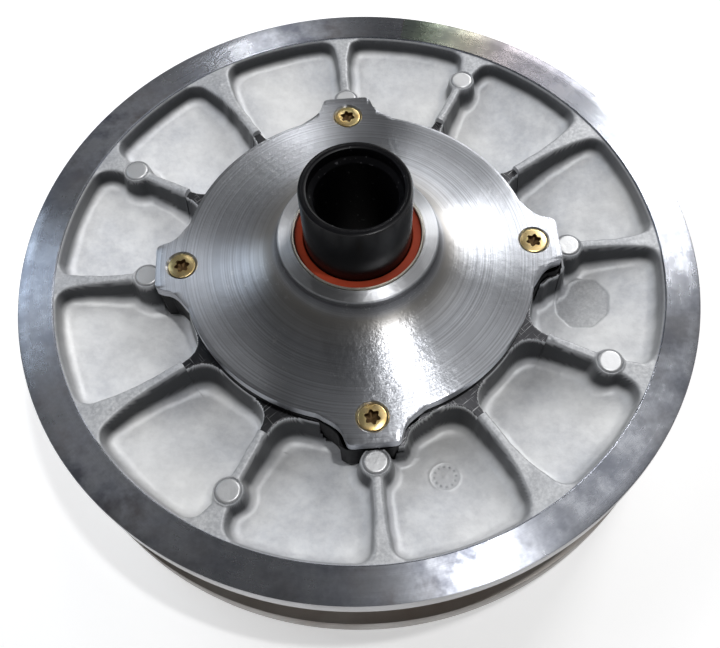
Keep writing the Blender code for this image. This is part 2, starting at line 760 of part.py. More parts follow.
def rollers(parts):
    for k, angle in enumerate(ARM_ANGLES):
        number = k + 1
        tyre = [(5.5, ROLLER_OUT), (ROLLER_R, ROLLER_OUT), (ROLLER_R, ROLLER_IN), (5.5, ROLLER_IN)]
        bush = [(PIN_R + GAP, ROLLER_OUT), (5.2, ROLLER_OUT), (5.2, ROLLER_IN), (PIN_R + GAP, ROLLER_IN)]
        pin = [
            (0.0, 61.8),
            (PIN_R, 61.8),
            (PIN_R, 61.4),
            (3.4, 61.4),
            (3.4, 60.1),
            (PIN_R, 60.1),
            (PIN_R, 37.0),
            (0.0, 37.0),
        ]
        clip = [(3.7, 61.2), (6.2, 61.2), (6.2, 60.3), (3.7, 60.3)]
        finish(radial_turned(f"roller_{number}", tyre, angle, parts), "roller_polymer")
        finish(radial_turned(f"roller_bush_{number}", bush, angle, parts, PIN_STEPS), "bronze")
        finish(radial_turned(f"roller_pin_{number}", pin, angle, parts, PIN_STEPS), "steel")
        finish(radial_turned(f"pin_clip_{number}", clip, angle, parts, PIN_STEPS), "spring_steel")


# ---------------------------------------------------------------------------------------------- spring and its seat
def spring(parts):
    steps_per_turn = 14
    start, end = SPRING_LOW + SPRING_WIRE / 2.0, SPRING_TOP - SPRING_WIRE / 2.0
    end_rise = SPRING_END_TURNS * (SPRING_WIRE + 0.4)
    middle_turns = SPRING_TURNS - 2.0 * SPRING_END_TURNS
    count = int(round(SPRING_TURNS * steps_per_turn))
    points = []
    for k in range(count + 1):
        turns = SPRING_TURNS * k / count
        if turns < SPRING_END_TURNS:
            rise = end_rise * turns / SPRING_END_TURNS
        elif turns > SPRING_TURNS - SPRING_END_TURNS:
            rise = end - start - end_rise * (SPRING_TURNS - turns) / SPRING_END_TURNS
        else:
            share = (turns - SPRING_END_TURNS) / middle_turns
            rise = end_rise + share * (end - start - 2.0 * end_rise)
        points.append((*polar(SPRING_R, 2.0 * math.pi * turns), start + rise))
    curve = bpy.data.curves.new("spring", "CURVE")
    curve.dimensions = "3D"
    curve.bevel_depth = SPRING_WIRE / 2.0 * MM
    curve.bevel_resolution = 2
    curve.use_fill_caps = True
    line = curve.splines.new("POLY")
    line.points.add(len(points) - 1)
    for point, (x, y, z) in zip(line.points, points):
        point.co = (x * MM, y * MM, height(z), 1.0)
    source = bpy.data.objects.new("spring_path", curve)
    parts.objects.link(source)
    return finish(from_source("spring", source, parts), "spring_steel")


def spring_seat(parts):
    inner, lip_in, lip_out = MOVE_HUB_OUT + 0.4, 33.4, 35.2
    low, seat, lip = MOVE_FLOOR_TOP + GAP, SPRING_LOW - GAP, -44.2
    profile = [(inner, seat), (lip_in, seat), (lip_in + 0.3, lip), (lip_out, lip), (lip_out, low), (inner, low)]
    return finish(turned("spring_seat", profile, parts, SMALL_STEPS), "steel")


def main():
    clear_scene()
    parts = new_collection(COLLECTION)
    cutters = new_collection("cutters", hidden=True)
    post(parts, cutters)
    fixed_sheave(parts, cutters)
    flange_screws(parts, cutters)
    moveable_sheave(parts, cutters)
    cam(parts, cutters)
    cover(parts, cutters)
    cover_screws(parts, cutters)
    bushings(parts)
    spider(parts, cutters)
    spider_ring(parts, cutters)
    rollers(parts)
    spring(parts)
    spring_seat(parts)


main()
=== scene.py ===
"""Look of the driven variator pulley on its CAD frame.

The sheaves, cover, post, bushings, spring, screws and flange screws are rebuilt here at full detail and
ride on their CAD bodies. cam_ears adds the black shelf that shows beside the cover. The other CAD nodes
keep their shape and get a worked material. Lengths are in millimetres until a mesh is made, and heights z
count from the machined ring of the upper sheave, as in part.py.
"""

import math

import bmesh
import bpy
import numpy as np
from mathutils import Matrix, Vector


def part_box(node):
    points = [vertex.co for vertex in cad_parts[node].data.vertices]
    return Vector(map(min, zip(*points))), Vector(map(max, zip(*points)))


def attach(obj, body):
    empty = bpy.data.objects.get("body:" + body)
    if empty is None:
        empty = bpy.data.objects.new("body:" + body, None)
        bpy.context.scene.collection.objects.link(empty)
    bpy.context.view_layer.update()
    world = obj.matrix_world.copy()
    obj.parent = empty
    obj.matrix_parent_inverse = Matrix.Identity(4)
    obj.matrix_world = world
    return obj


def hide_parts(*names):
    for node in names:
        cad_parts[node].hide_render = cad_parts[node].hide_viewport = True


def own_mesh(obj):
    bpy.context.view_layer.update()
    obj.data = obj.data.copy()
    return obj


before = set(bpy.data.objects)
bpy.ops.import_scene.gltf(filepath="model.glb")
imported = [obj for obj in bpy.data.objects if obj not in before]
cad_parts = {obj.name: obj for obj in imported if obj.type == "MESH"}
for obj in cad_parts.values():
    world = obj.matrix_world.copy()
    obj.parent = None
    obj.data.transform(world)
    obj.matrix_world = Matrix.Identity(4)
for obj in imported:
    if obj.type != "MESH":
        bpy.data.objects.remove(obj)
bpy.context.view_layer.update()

MM = 0.001


def cad_edge(node, axis):
    """Highest coordinate of a CAD node along an axis, in millimetres."""
    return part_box(node)[1][axis] / MM


# Driving dimensions, taken from the CAD frame where it holds them
RING_TOP = cad_edge("moveable_sheave", 2)
SHEAVE_R = cad_edge("moveable_sheave", 0)
POST_TOP = cad_edge("post", 2) - RING_TOP
BOSS_TOP = cad_edge("cover", 2) - RING_TOP
SHELL_TOP = cad_edge("bushing_shell", 2) - RING_TOP
SHELL_OUT = cad_edge("bushing_shell", 0)
LINER_TOP = cad_edge("bushing_liner", 2) - RING_TOP
SCREW_TOP = cad_edge("cover_screw_1", 2) - RING_TOP
BUSH_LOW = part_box("bushing_shell")[0].z / MM - RING_TOP
FACE_SLOPE = math.tan(math.radians(14.0))
RING_INNER_R = 130.2
RIM_THICK, GROOVE_AT_RIM = 10.0, 31.0
FACE_INNER_R = 85.5
WALL = 6.3
LAND = -3.0
LAND_R = 86.5
RIB_TOP = -0.6
PAD_TOP = -0.2
COVER_LOW, COVER_TOP = 0.3, 5.5
DISC_R, SCREW_PITCH_R = 75.0, 75.0
POST_R, GAP = 22.1, 0.3
FIXED_RING = -54.4
QUARTERS = tuple(math.radians(90.0 * k) for k in range(4))

COLUMNS = 1920
ROW_STEP = 0.42
# Material indices of the two sheaves' faces
CAST_FACE, RIM_FACE, BELT_FACE, LAND_FACE, SIDE_FACE = range(5)


# -------------------- mesh helpers
def height(z):
    return (RING_TOP + z) * MM


def polar(r, angle):
    return r * math.cos(angle), r * math.sin(angle)


class Skin:
    """Sheets of points that run round Z, joined into one mesh.

    Rows run outwards on top and down the outer side.
    """

    def __init__(self, columns=COLUMNS):
        self.columns = columns
        self.angles = np.arange(columns) * (2.0 * math.pi / columns)
        self.points, self.faces, self.looks = [], [], []
        self.values = {}
        self.count = 0

    def sheet(self, radii, heights, look=0, **values):
        """radii and heights are (rows,) or (rows, columns).

        look is a material index, for all faces or for each. values are attributes of the points.
        """
        radii = self.filled(radii)
        heights = self.filled(heights)
        rows = len(radii)
        x = radii * np.cos(self.angles)
        y = radii * np.sin(self.angles)
        self.points.append(np.stack((x * MM, y * MM, height(heights)), axis=-1).reshape(-1, 3))
        index = self.count + np.arange(rows * self.columns).reshape(rows, self.columns)
        after = np.roll(index, -1, axis=1)
        quads = np.stack((index[:-1], index[1:], after[1:], after[:-1]), axis=-1)
        self.faces.append(quads.reshape(-1, 4))
        self.looks.append(np.broadcast_to(np.asarray(look, np.int32), (rows - 1, self.columns)).ravel())
        for name, value in values.items():
            self.values.setdefault(name, []).append((self.count, self.filled(value).ravel()))
        self.count += rows * self.columns
        return self

    def profile(self, points, look=0):
        """A turned sheet through (radius, height) points."""
        radii, heights = zip(*points)
        return self.sheet(radii, heights, look)

    def filled(self, value):
        value = np.asarray(value, float)
        if value.ndim == 1:
            value = value[:, None]
        return np.ascontiguousarray(np.broadcast_to(value, (value.shape[0], self.columns)))

    def mesh(self, name, sharp=38.0):
        points = np.concatenate(self.points)
        faces = np.concatenate(self.faces)
        made = bpy.data.meshes.new(name)
        made.vertices.add(len(points))
        made.vertices.foreach_set("co", points.astype(np.float32).ravel())
        made.loops.add(len(faces) * 4)
        made.loops.foreach_set("vertex_index", faces.astype(np.int32).ravel())
        made.polygons.add(len(faces))
        made.polygons.foreach_set("loop_start", np.arange(0, len(faces) * 4, 4, dtype=np.int32))
        made.polygons.foreach_set("material_index", np.concatenate(self.looks).astype(np.int32))
        for key, parts in self.values.items():
            column = np.zeros(len(points), np.float32)
            for start, value in parts:
                column[start : start + len(value)] = value
            made.attributes.new(key, "FLOAT", "POINT").data.foreach_set("value", column)
        made.update(calc_edges=True)
        made.validate()
        shade(made, sharp)
        return made


def shade(mesh, sharp=38.0):
    mesh.shade_smooth()
    mesh.set_sharp_from_angle(angle=math.radians(sharp))


def painted(mesh, looks):
    """Gives a mesh its materials, once. Its faces keep the material index that they have."""
    for look in looks if not mesh.materials else ():
        mesh.materials.append(look)
    return mesh


def placed(name, data):
    """A new object in the scene that shows this mesh, light or camera."""
    obj = bpy.data.objects.new(name, data)
    bpy.context.scene.collection.objects.link(obj)
    return obj


def piece(name, mesh, looks, body, slot, *nodes):
    """Puts a mesh into the scene as a piece that rides on a body and stands for CAD nodes."""
    obj = placed(name, mesh)
    painted(mesh, looks)
    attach(obj, body)
    if nodes:
        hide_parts(*nodes)
    return obj


def drilled(mesh, cutters):
    """The mesh with closed cutter meshes taken away from it."""
    holder = placed("drilled", mesh)
    tools = []
    for k, cutter in enumerate(cutters):
        tool = placed(f"drill_{k}", cutter)
        modifier = holder.modifiers.new(f"drill_{k}", "BOOLEAN")
        modifier.operation = "DIFFERENCE"
        modifier.solver = "EXACT"
        modifier.material_mode = "TRANSFER" if cutter.materials else "INDEX"
        modifier.object = tool
        tools.append(tool)
    bpy.context.view_layer.update()
    graph = bpy.context.evaluated_depsgraph_get()
    cut = bpy.data.meshes.new_from_object(holder.evaluated_get(graph), depsgraph=graph)
    for obj in (holder, *tools):
        bpy.data.objects.remove(obj, do_unlink=True)
    shade(cut, 30.0)
    return cut


def solid_of_loops(name, points, sides):
    """A closed solid through loops of points with the same number of sides, in order."""
    loops = len(points) // sides
    faces = []
    for first in range(0, (loops - 1) * sides, sides):
        for k in range(sides):
            n = (k + 1) % sides
            faces.append((first + k, first + sides + k, first + sides + n, first + n))
    faces.append(tuple(range(sides)))
    faces.append(tuple((loops - 1) * sides + k for k in reversed(range(sides))))
    mesh = bpy.data.meshes.new(name)
    mesh.from_pydata(points, [], faces)
    mesh.update()
    return mesh


def solid_of_rings(name, rings, at, sides, shape=None, turn=0.0):
    """A closed solid from (radius, height) rings, top ring first, about a vertical line.

    shape(angle) scales the rings at each angle.
    """
    points = []
    angles = [2.0 * math.pi * k / sides for k in range(sides)]
    for r, z in rings:
        for angle in angles:
            scale = shape(angle) if shape else 1.0
            x, y = polar(r * scale, angle + turn)
            points.append(((at[0] + x) * MM, (at[1] + y) * MM, height(z)))
    return solid_of_loops(name, points, sides)


def softened(points, times):
    """The line through points with its corners cut, ends kept."""
    line = np.array(points, float)
    for _ in range(times):
        near = 0.75 * line[:-1] + 0.25 * line[1:]
        far = 0.25 * line[:-1] + 0.75 * line[1:]
        between = np.stack((near, far), axis=1).reshape(-1, 2)
        line = np.concatenate((line[:1], between[1:-1], line[-1:]))
    return line


# -------------------- node helpers
class Look:
    """A material's node tree, with short calls for the nodes that the finishes below use."""

    def __init__(self, name):
        self.material = bpy.data.materials.new(name)
        self.material.use_nodes = True
        self.tree = self.material.node_tree
        self.shader = self.tree.nodes["Principled BSDF"]
        self.place = self.node("ShaderNodeTexCoord", {}).outputs["Object"]

    def node(self, kind, inputs, **settings):
        made = self.tree.nodes.new(kind)
        for key, value in settings.items():
            setattr(made, key, value)
        self.fill(made, inputs)
        return made

    def fill(self, node, inputs):
        """Sets or links a node's inputs, given as {name or number: value or socket}."""
        for key, value in inputs.items():
            self.feed(node.inputs[key], value)

    def feed(self, socket, value):
        if isinstance(value, bpy.types.NodeSocket):
            self.tree.links.new(value, socket)
        else:
            socket.default_value = value

    def maths(self, operation, a, b):
        return self.node("ShaderNodeMath", {0: a, 1: b}, operation=operation).outputs[0]

    def product(self, a, b):
        return self.maths("MULTIPLY", a, b)

    def total(self, a, b):
        return self.maths("ADD", a, b)

    def noise(self, scale, detail, roughness, where=None, stretch=None):
        source = where or self.place
        if stretch:
            source = self.node("ShaderNodeMapping", {"Vector": source, "Scale": stretch}).outputs["Vector"]
        inputs = {"Vector": source, "Scale": scale, "Detail": detail, "Roughness": roughness}
        return self.node("ShaderNodeTexNoise", inputs).outputs["Fac"]

    def radius(self):
        """Distance from the Z axis, in metres."""
        flat = self.node("ShaderNodeVectorMath", {0: self.place, 1: (1.0, 1.0, 0.0)}, operation="MULTIPLY")
        length = self.node("ShaderNodeVectorMath", {0: flat.outputs[0]}, operation="LENGTH")
        return length.outputs["Value"]

    def lathe(self, scale, detail):
        """Rings left by a lathe: noise that changes only with the distance from the axis and the height."""
        split = self.node("ShaderNodeSeparateXYZ", {0: self.place})
        line = self.total(self.radius(), self.product(split.outputs["Z"], 1.37))
        inputs = {"W": line, "Scale": scale, "Detail": detail}
        return self.node("ShaderNodeTexNoise", inputs, noise_dimensions="1D").outputs["Fac"]

    def ramp(self, value, *stops):
        """stops are (position, number or colour) pairs."""
        made = self.node("ShaderNodeValToRGB", {"Fac": value})
        elements = made.color_ramp.elements
        while len(elements) > 1:
            elements.remove(elements[-1])
        for k, (position, number) in enumerate(stops):
            element = elements[0] if k == 0 else elements.new(position)
            element.position = position
            colour = number if isinstance(number, tuple) else (number,) * 3
            element.color = (*colour, 1.0)
        return made.outputs["Color"]

    def between(self, share, a, b, blend="MIX"):
        """Colour a at share 0 and b at share 1."""
        made = self.node("ShaderNodeMix", {"Factor": share}, data_type="RGBA", blend_type=blend)
        for socket, value in zip([s for s in made.inputs if s.type == "RGBA"], (a, b)):
            self.feed(socket, (*value, 1.0) if isinstance(value, tuple) else value)
        return [s for s in made.outputs if s.type == "RGBA"][0]

    def times(self, a, b):
        """Two colours multiplied."""
        return self.between(1.0, a, b, "MULTIPLY")

    def span(self, value, low, high):
        """value from 0 to 1 as a number from low to high."""
        return self.total(self.product(value, high - low), low)

    def scratches(self, scale, length, turn, low=0.66, high=0.74):
        """Fine straight scratches, about length times longer than wide, at an angle about Z."""
        turned = (0.0, 0.0, math.radians(turn))
        inputs = {"Vector": self.place, "Rotation": turned, "Scale": (1.0, length, 1.0)}
        made = self.node("ShaderNodeMapping", inputs, vector_type="TEXTURE")
        return self.ramp(self.noise(scale, 1.0, 0.5, made.outputs["Vector"]), (low, 0.0), (high, 1.0))

    def attribute(self, name):
        return self.node("ShaderNodeAttribute", {}, attribute_name=name).outputs["Fac"]

    def bump(self, value, strength, distance, before=None):
        inputs = {"Height": value, "Strength": strength, "Distance": distance * MM}
        if before is not None:
            inputs["Normal"] = before
        return self.node("ShaderNodeBump", inputs).outputs["Normal"]

    def turned_grain(self, amount):
        """Highlights drawn out across the lathe's rings."""
        tangent = self.node("ShaderNodeTangent", {}, direction_type="RADIAL", axis="Z").outputs[0]
        self.fill(self.shader, {"Tangent": tangent, "Anisotropic": amount, "Anisotropic Rotation": 0.25})

    def dull(self, specular):
        self.shader.inputs["Specular IOR Level"].default_value = specular

    def done(self, colour, roughness, metallic, normal=None):
        self.fill(self.shader, {"Base Color": colour, "Roughness": roughness, "Metallic": metallic})
        if normal is not None:
            self.feed(self.shader.inputs["Normal"], normal)
        return self.material


# -------------------- finishes
def cast_aluminium():
    """Tumbled die casting.

    Its attributes paint shade on the pocket walls and in the moats round the pads, finish the pads, darken
    the marks, and darken the rib crests as worn casting and painted shade.
    """
    look = Look("cast_aluminium")
    fine = look.noise(1400.0, 4.0, 0.6)
    grain = look.noise(420.0, 3.0, 0.55)
    cloud = look.noise(34.0, 4.0, 0.62)
    warm = look.noise(17.0, 2.0, 0.5)
    wall = look.attribute("wall")
    machined = look.attribute("machined")
    stain_and_shade = look.attribute("stain_and_shade")
    mottle = look.noise(120.0, 4.0, 0.65)
    body = look.ramp(cloud, (0.36, 0.0), (0.64, 1.0))
    body = look.between(body, (0.665, 0.683, 0.72), (0.945, 0.957, 0.975))
    body = look.between(look.ramp(mottle, (0.42, 0.5), (0.60, 0.0)), body, (0.60, 0.61, 0.64))
    body = look.between(look.ramp(warm, (0.45, 0.0), (0.7, 0.5)), body, (0.90, 0.89, 0.86))
    body = look.between(look.ramp(grain, (0.35, 0.0), (0.7, 0.35)), body, (0.95, 0.953, 0.957))
    # Painted shade: near-black on the pocket walls, most where they face the front, and in the moats round
    # the pads
    body = look.between(look.product(wall, 0.97), body, (0.035, 0.037, 0.041))
    # Darker marks, and rib crests darkened as worn casting and painted shade
    patches = look.ramp(look.noise(650.0, 4.0, 0.7), (0.36, 0.0), (0.60, 1.0))
    worn = look.product(stain_and_shade, look.span(patches, 0.65, 1.25))
    body = look.between(worn, body, (0.30, 0.31, 0.33))
    body = look.between(machined, body, (0.74, 0.745, 0.755))
    rough = look.total(look.span(grain, 0.44, 0.60), look.product(machined, -0.12))
    normal = look.bump(cloud, 0.15, 1.0)
    normal = look.bump(grain, 0.35, 0.25, normal)
    normal = look.bump(fine, 0.25, 0.12, normal)
    return look.done(body, rough, look.span(machined, 0.36, 0.75), normal)


def shaded_turned_land():
    """Machined ring inside the pockets: dull, with fine rings and handling scratches, and darkened all over
    as painted shade under the cover's edge.
    """
    look = Look("shaded_turned_land")
    rings = look.lathe(1900.0, 3.0)
    lines = look.maths("MAXIMUM", look.scratches(2600.0, 26.0, 34.0), look.scratches(2300.0, 22.0, -52.0))
    cloud = look.noise(60.0, 3.0, 0.6)
    # Painted shade: the land is dark all round, as under the cover's edge
    colour = look.between(cloud, (0.05, 0.05, 0.055), (0.12, 0.12, 0.127))
    colour = look.between(look.product(lines, 0.6), colour, (0.70, 0.70, 0.71))
    look.turned_grain(0.4)
    normal = look.bump(rings, 0.35, 0.06)
    return look.done(colour, look.span(rings, 0.34, 0.50), 1.0, look.bump(lines, 0.15, 0.04, normal))


def turned_ring():
    """Machined rim of a sheave: fine rings, cloudy smudges partly painted as dark reflection, and painted
    diffraction colours over one part.
    """
    look = Look("turned_ring")
    rings = look.lathe(2600.0, 3.0)
    broad = look.lathe(500.0, 2.0)
    cloud = look.noise(26.0, 5.0, 0.66)
    blot = look.noise(85.0, 4.0, 0.62)
    brushed = look.maths("MAXIMUM", look.scratches(1500.0, 14.0, -24.0, 0.55, 0.70),
                         look.scratches(1300.0, 12.0, 17.0))
    mixed = look.total(look.product(cloud, 0.55), look.product(blot, 0.45))
    # Smudges; in some stretches of the rim they are painted dark reflection
    share = look.product(look.ramp(mixed, (0.42, 0.0), (0.57, 1.0)), look.attribute("smudge"))
    colour = look.between(rings, (0.62, 0.647, 0.72), (0.79, 0.818, 0.885))
    colour = look.between(look.ramp(blot, (0.40, 0.0), (0.66, 0.75)), colour, (0.41, 0.44, 0.53))
    stain_and_shade = look.between(look.ramp(look.noise(33.0, 2.0, 0.5), (0.42, 0.0), (0.58, 1.0)),
                         (0.13, 0.135, 0.17), (0.19, 0.16, 0.14))
    colour = look.between(share, colour, stain_and_shade)
    # Painted sheen: diffraction colours painted over one stretch of the rim
    film = look.ramp(look.attribute("film"), (0.0, (1.0, 1.0, 1.0)), (0.25, (1.0, 0.95, 0.95)),
                     (0.50, (1.0, 0.88, 0.84)), (0.68, (1.0, 0.93, 0.70)), (0.90, (0.88, 1.0, 0.72)),
                     (1.0, (0.92, 1.0, 0.84)))
    colour = look.times(colour, film)
    rough = look.total(look.span(broad, 0.17, 0.25), look.product(share, 0.18))
    patchy = look.product(look.product(blot, 0.35), look.attribute("smudge"))
    rough = look.total(rough, patchy)
    look.turned_grain(0.95)
    normal = look.bump(rings, 0.22, 0.05)
    normal = look.bump(brushed, 0.05, 0.04, normal)
    return look.done(colour, rough, 1.0, normal)


def filmed(name, scale, film, stops, clean, stained, rough, grain, bump):
    """Turned metal with fine rings, under a film that lies in patches."""
    look = Look(name)
    rings = look.lathe(scale, 3.0)
    colour = look.between(look.ramp(look.noise(*film), *stops), clean, stained)
    look.turned_grain(grain)
    return look.done(colour, look.span(rings, *rough), 1.0, look.bump(rings, *bump))


def belt_face():
    """Conical face that the belt runs on: turned, with a brown film."""
    return filmed("belt_face", 1500.0, (22.0, 4.0, 0.6), ((0.35, 0.0), (0.7, 1.0)), (0.60, 0.57, 0.54),
                  (0.42, 0.36, 0.32), (0.34, 0.48), 0.5, (0.25, 0.08))


def turned_side():
    """Outer side of the upper rim: turned bright, with fine rings and a few stains."""
    return filmed("turned_side", 2400.0, (45.0, 3.0, 0.6), ((0.45, 0.0), (0.75, 0.6)), (0.45, 0.45, 0.46),
                  (0.28, 0.27, 0.265), (0.28, 0.40), 0.7, (0.2, 0.06))


def dull_rim():
    """Rim of the lower sheave: turned, under a brown film."""
    return filmed("dull_rim", 1800.0, (30.0, 4.0, 0.62), ((0.36, 0.0), (0.66, 1.0)), (0.40, 0.385, 0.37),
                  (0.26, 0.235, 0.22), (0.36, 0.50), 0.6, (0.2, 0.06))


def turned_cover():
    """Bright turned bell with fine rings, a few deeper ones, smudges and light scratches, a painted warm
    reflection near the boss and a painted dark reflection round the boss's foot.
    """
    look = Look("turned_cover")
    rings = look.lathe(3200.0, 3.0)
    lines = look.lathe(1500.0, 4.0)
    broad = look.lathe(300.0, 2.0)
    cloud = look.noise(26.0, 4.0, 0.64)
    scuff = look.noise(420.0, 5.0, 0.7)
    here = look.ramp(look.noise(40.0, 2.0, 0.5), (0.48, 0.0), (0.62, 1.0))
    cuts = look.maths("MAXIMUM", look.scratches(2600.0, 16.0, 28.0),
                      look.scratches(2400.0, 20.0, -63.0, 0.68, 0.76))
    marks = look.maths("MAXIMUM", look.ramp(scuff, (0.60, 0.0), (0.68, 0.7)), look.product(cuts, 0.5))
    marks = look.product(marks, here)
    worn = look.ramp(lines, (0.36, 0.0), (0.64, 1.0))
    colour = look.between(worn, (0.50, 0.515, 0.555), (0.73, 0.752, 0.80))
    colour = look.between(look.ramp(cloud, (0.42, 0.0), (0.72, 0.7)), colour, (0.44, 0.45, 0.48))
    # A ramp holds 256 steps from 0 to 1, so here 1 stands for 50 mm from the axis
    near = look.product(look.radius(), 20.0)
    # Painted warm reflection: a beige band on the bell from 34 to 50 mm from the axis
    foot = look.ramp(near, (0.68, 0.0), (0.74, 0.45), (0.86, 0.2), (1.0, 0.0))
    colour = look.between(foot, colour, (0.62, 0.56, 0.46))
    boss = look.ramp(near, (0.654, 1.0), (0.662, 0.0))
    colour = look.between(look.product(boss, 0.7), colour, (0.86, 0.87, 0.89))
    # Painted dark reflection: a near-black ring round the boss's steep foot, 33 to 36 mm from the axis
    under_boss = look.ramp(near, (0.662, 0.0), (0.668, 0.85), (0.684, 0.6), (0.716, 0.0))
    colour = look.between(under_boss, colour, (0.13, 0.13, 0.14))
    colour = look.between(look.product(marks, 0.7), colour, (0.97, 0.97, 0.98))
    rough = look.total(look.span(broad, 0.31, 0.40), look.product(marks, 0.12))
    rough = look.total(rough, look.product(worn, -0.04))
    rough = look.total(rough, look.product(boss, 0.08))
    look.turned_grain(0.94)
    normal = look.bump(rings, 0.24, 0.05)
    normal = look.bump(lines, 0.14, 0.05, normal)
    normal = look.bump(broad, 0.14, 0.12, normal)
    normal = look.bump(marks, 0.1, 0.05, normal)
    normal = look.bump(look.noise(190.0, 4.0, 0.7), 0.22, 0.5, normal)
    return look.done(colour, rough, 1.0, normal)


def black_steel():
    look = Look("black_steel")
    grain = look.noise(900.0, 4.0, 0.6)
    rub = look.noise(60.0, 4.0, 0.65)
    colour = look.between(look.ramp(rub, (0.5, 0.0), (0.8, 0.6)), (0.004, 0.004, 0.005),
                          (0.016, 0.016, 0.018))
    rough = look.span(rub, 0.18, 0.32)
    look.dull(0.26)
    return look.done(colour, rough, 0.0, look.bump(grain, 0.12, 0.05))


def matt_black():
    """Black coat of the cam where dust dulls it."""
    look = Look("matt_black")
    dust = look.noise(500.0, 3.0, 0.6)
    colour = look.between(look.ramp(dust, (0.55, 0.0), (0.8, 1.0)), (0.004, 0.004, 0.005),
                          (0.012, 0.012, 0.013))
    look.dull(0.15)
    return look.done(colour, look.span(dust, 0.45, 0.6), 0.0, look.bump(dust, 0.2, 0.08))


def bored_steel():
    """Inside of the post: black with bright specks where tools touched it."""
    look = Look("bored_steel")
    rings = look.lathe(1400.0, 3.0)
    speck = look.noise(700.0, 2.0, 0.5)
    bright = look.ramp(speck, (0.68, 0.0), (0.74, 0.8))
    colour = look.between(bright, (0.004, 0.004, 0.005), (0.12, 0.12, 0.13))
    look.dull(0.2)
    return look.done(colour, look.span(rings, 0.30, 0.45), 0.1, look.bump(rings, 0.2, 0.06))


def yellow_zinc():
    """Chromated zinc on the cover screws, greener and redder in soft patches."""
    look = Look("yellow_zinc")
    tint = look.noise(170.0, 2.0, 0.5)
    grain = look.noise(1500.0, 3.0, 0.6)
    colour = look.ramp(tint, (0.34, (0.86, 0.60, 0.24)), (0.52, (0.90, 0.70, 0.36)),
                       (0.68, (0.80, 0.66, 0.30)))
    return look.done(colour, look.span(grain, 0.24, 0.34), 1.0, look.bump(grain, 0.06, 0.04))


def recess_zinc():
    """The same coating in the drive recess, darkened as painted shade."""
    look = Look("recess_zinc")
    recess_mottle = look.noise(700.0, 3.0, 0.6)
    # Painted shade: the recess is a near-black brown
    colour = look.between(recess_mottle, (0.055, 0.03, 0.012), (0.22, 0.13, 0.05))
    return look.done(colour, look.span(recess_mottle, 0.4, 0.6), 0.7, look.bump(recess_mottle, 0.3, 0.08))


def grained(name, fine, broad, dark, light, rough, metallic, bump, stretch=None, by_patch=False,
            specular=0.5):
    """A fine grain under a colour that varies in broad patches.

    fine and broad are the scale and detail of the two. The roughness follows the grain, or the patches.
    """
    look = Look(name)
    grain = look.noise(*fine, 0.6, stretch=stretch)
    patches = look.noise(*broad, 0.6)
    look.dull(specular)
    roughness = look.span(patches if by_patch else grain, *rough)
    return look.done(look.between(patches, dark, light), roughness, metallic, look.bump(grain, *bump))


def bare_steel():
    return grained("bare_steel", (1200.0, 4.0), (90.0, 4.0), (0.34, 0.34, 0.35), (0.52, 0.52, 0.53),
                   (0.26, 0.44), 1.0, (0.15, 0.05), (1.0, 1.0, 0.2), True)


def spring_steel():
    return grained("spring_steel", (1600.0, 4.0), (120.0, 3.0), (0.07, 0.07, 0.08), (0.17, 0.17, 0.18),
                   (0.34, 0.5), 0.85, (0.3, 0.06), by_patch=True)


def wear_liner():
    return grained("wear_liner", (1300.0, 3.0), (110.0, 3.0), (0.24, 0.028, 0.010), (0.44, 0.060, 0.022),
                   (0.42, 0.62), 0.0, (0.3, 0.06), specular=0.2)


def bushing_metal():
    return grained("bushing_metal", (1100.0, 3.0), (140.0, 3.0), (0.80, 0.73, 0.62), (0.93, 0.88, 0.79),
                   (0.22, 0.38), 0.9, (0.12, 0.04), (1.0, 1.0, 0.15))


def bronze():
    return grained("bronze", (1300.0, 3.0), (120.0, 3.0), (0.42, 0.24, 0.09), (0.62, 0.40, 0.18),
                   (0.28, 0.42), 1.0, (0.15, 0.05))


def roller_polymer():
    return grained("roller_polymer", (1000.0, 3.0), (150.0, 3.0), (0.52, 0.44, 0.28), (0.66, 0.58, 0.42),
                   (0.4, 0.55), 0.0, (0.2, 0.05))


def pale_floor():
    look = Look("pale_floor")
    soft = look.noise(2.0, 2.0, 0.5)
    look.fill(look.shader, {"Emission Color": (1.0, 1.0, 1.0, 1.0), "Emission Strength": 0.46})
    colour = look.between(soft, (0.90, 0.90, 0.905), (0.93, 0.93, 0.93))
    return look.done(colour, 0.75, 0.0)


# -------------------- sheave castings
RIBS = 12
RIB_HALF = 1.9
POCKET_OUTER_R = 129.4
PITCH = 2.0 * math.pi / RIBS
# Where each kind of rib starts to flare towards the outer ring, and its half width at the ring
FLARE_START = {"lobe": 120.5, "pad": 117.5, "plain": 112.0}
FLARE_HALF = {"lobe": 4.4, "pad": 6.6, "plain": 7.2}
WIDE_RIBS = {4: 9.0, 10: 8.6}  # ribs that flare more than their kind
RIB_KINDS = ("lobe", "plain", "pad")
HUB_R, HUB_EDGE_R = 63.0, 63.4
UPPER_POCKET_R, LOWER_POCKET_R = 75.5, 84.5
PADS_INNER_R, PADS_OUTER_R, PAD_R = 91.0, 113.2, 5.9
PAD_MOAT = 0.85  # how far inside the pad's edge the thin groove round its face lies
MOAT_WIDE, MOAT_DEEP, FLASH_HIGH = 0.4, 0.55, 0.55
# Outlines beside a lobe, as (outwards, sideways) from the lobe's middle line
SEAT_EDGE = ((64.0, 4.0), (84.9, 4.0), (85.2, 9.0), (84.9, 11.4), (83.0, 12.9), (80.4, 13.6), (77.8, 15.1),
             (75.2, 18.2), (72.6, 22.2), (64.0, 22.2))
WRAP_EDGE = ((64.0, 0.0), (87.6, 0.0), (87.6, -10.5), (86.4, -12.6), (83.5, -13.9), (80.4, -15.0),
             (78.0, -17.0), (64.0, -17.0))
WRAP_FROM_R = 78.0
EAR_TURN = math.radians(-1.0)
EAR_FLOOR, EAR_LOW, EAR_GAP, EAR_STEP = -17.4, -17.0, 0.4, 0.8
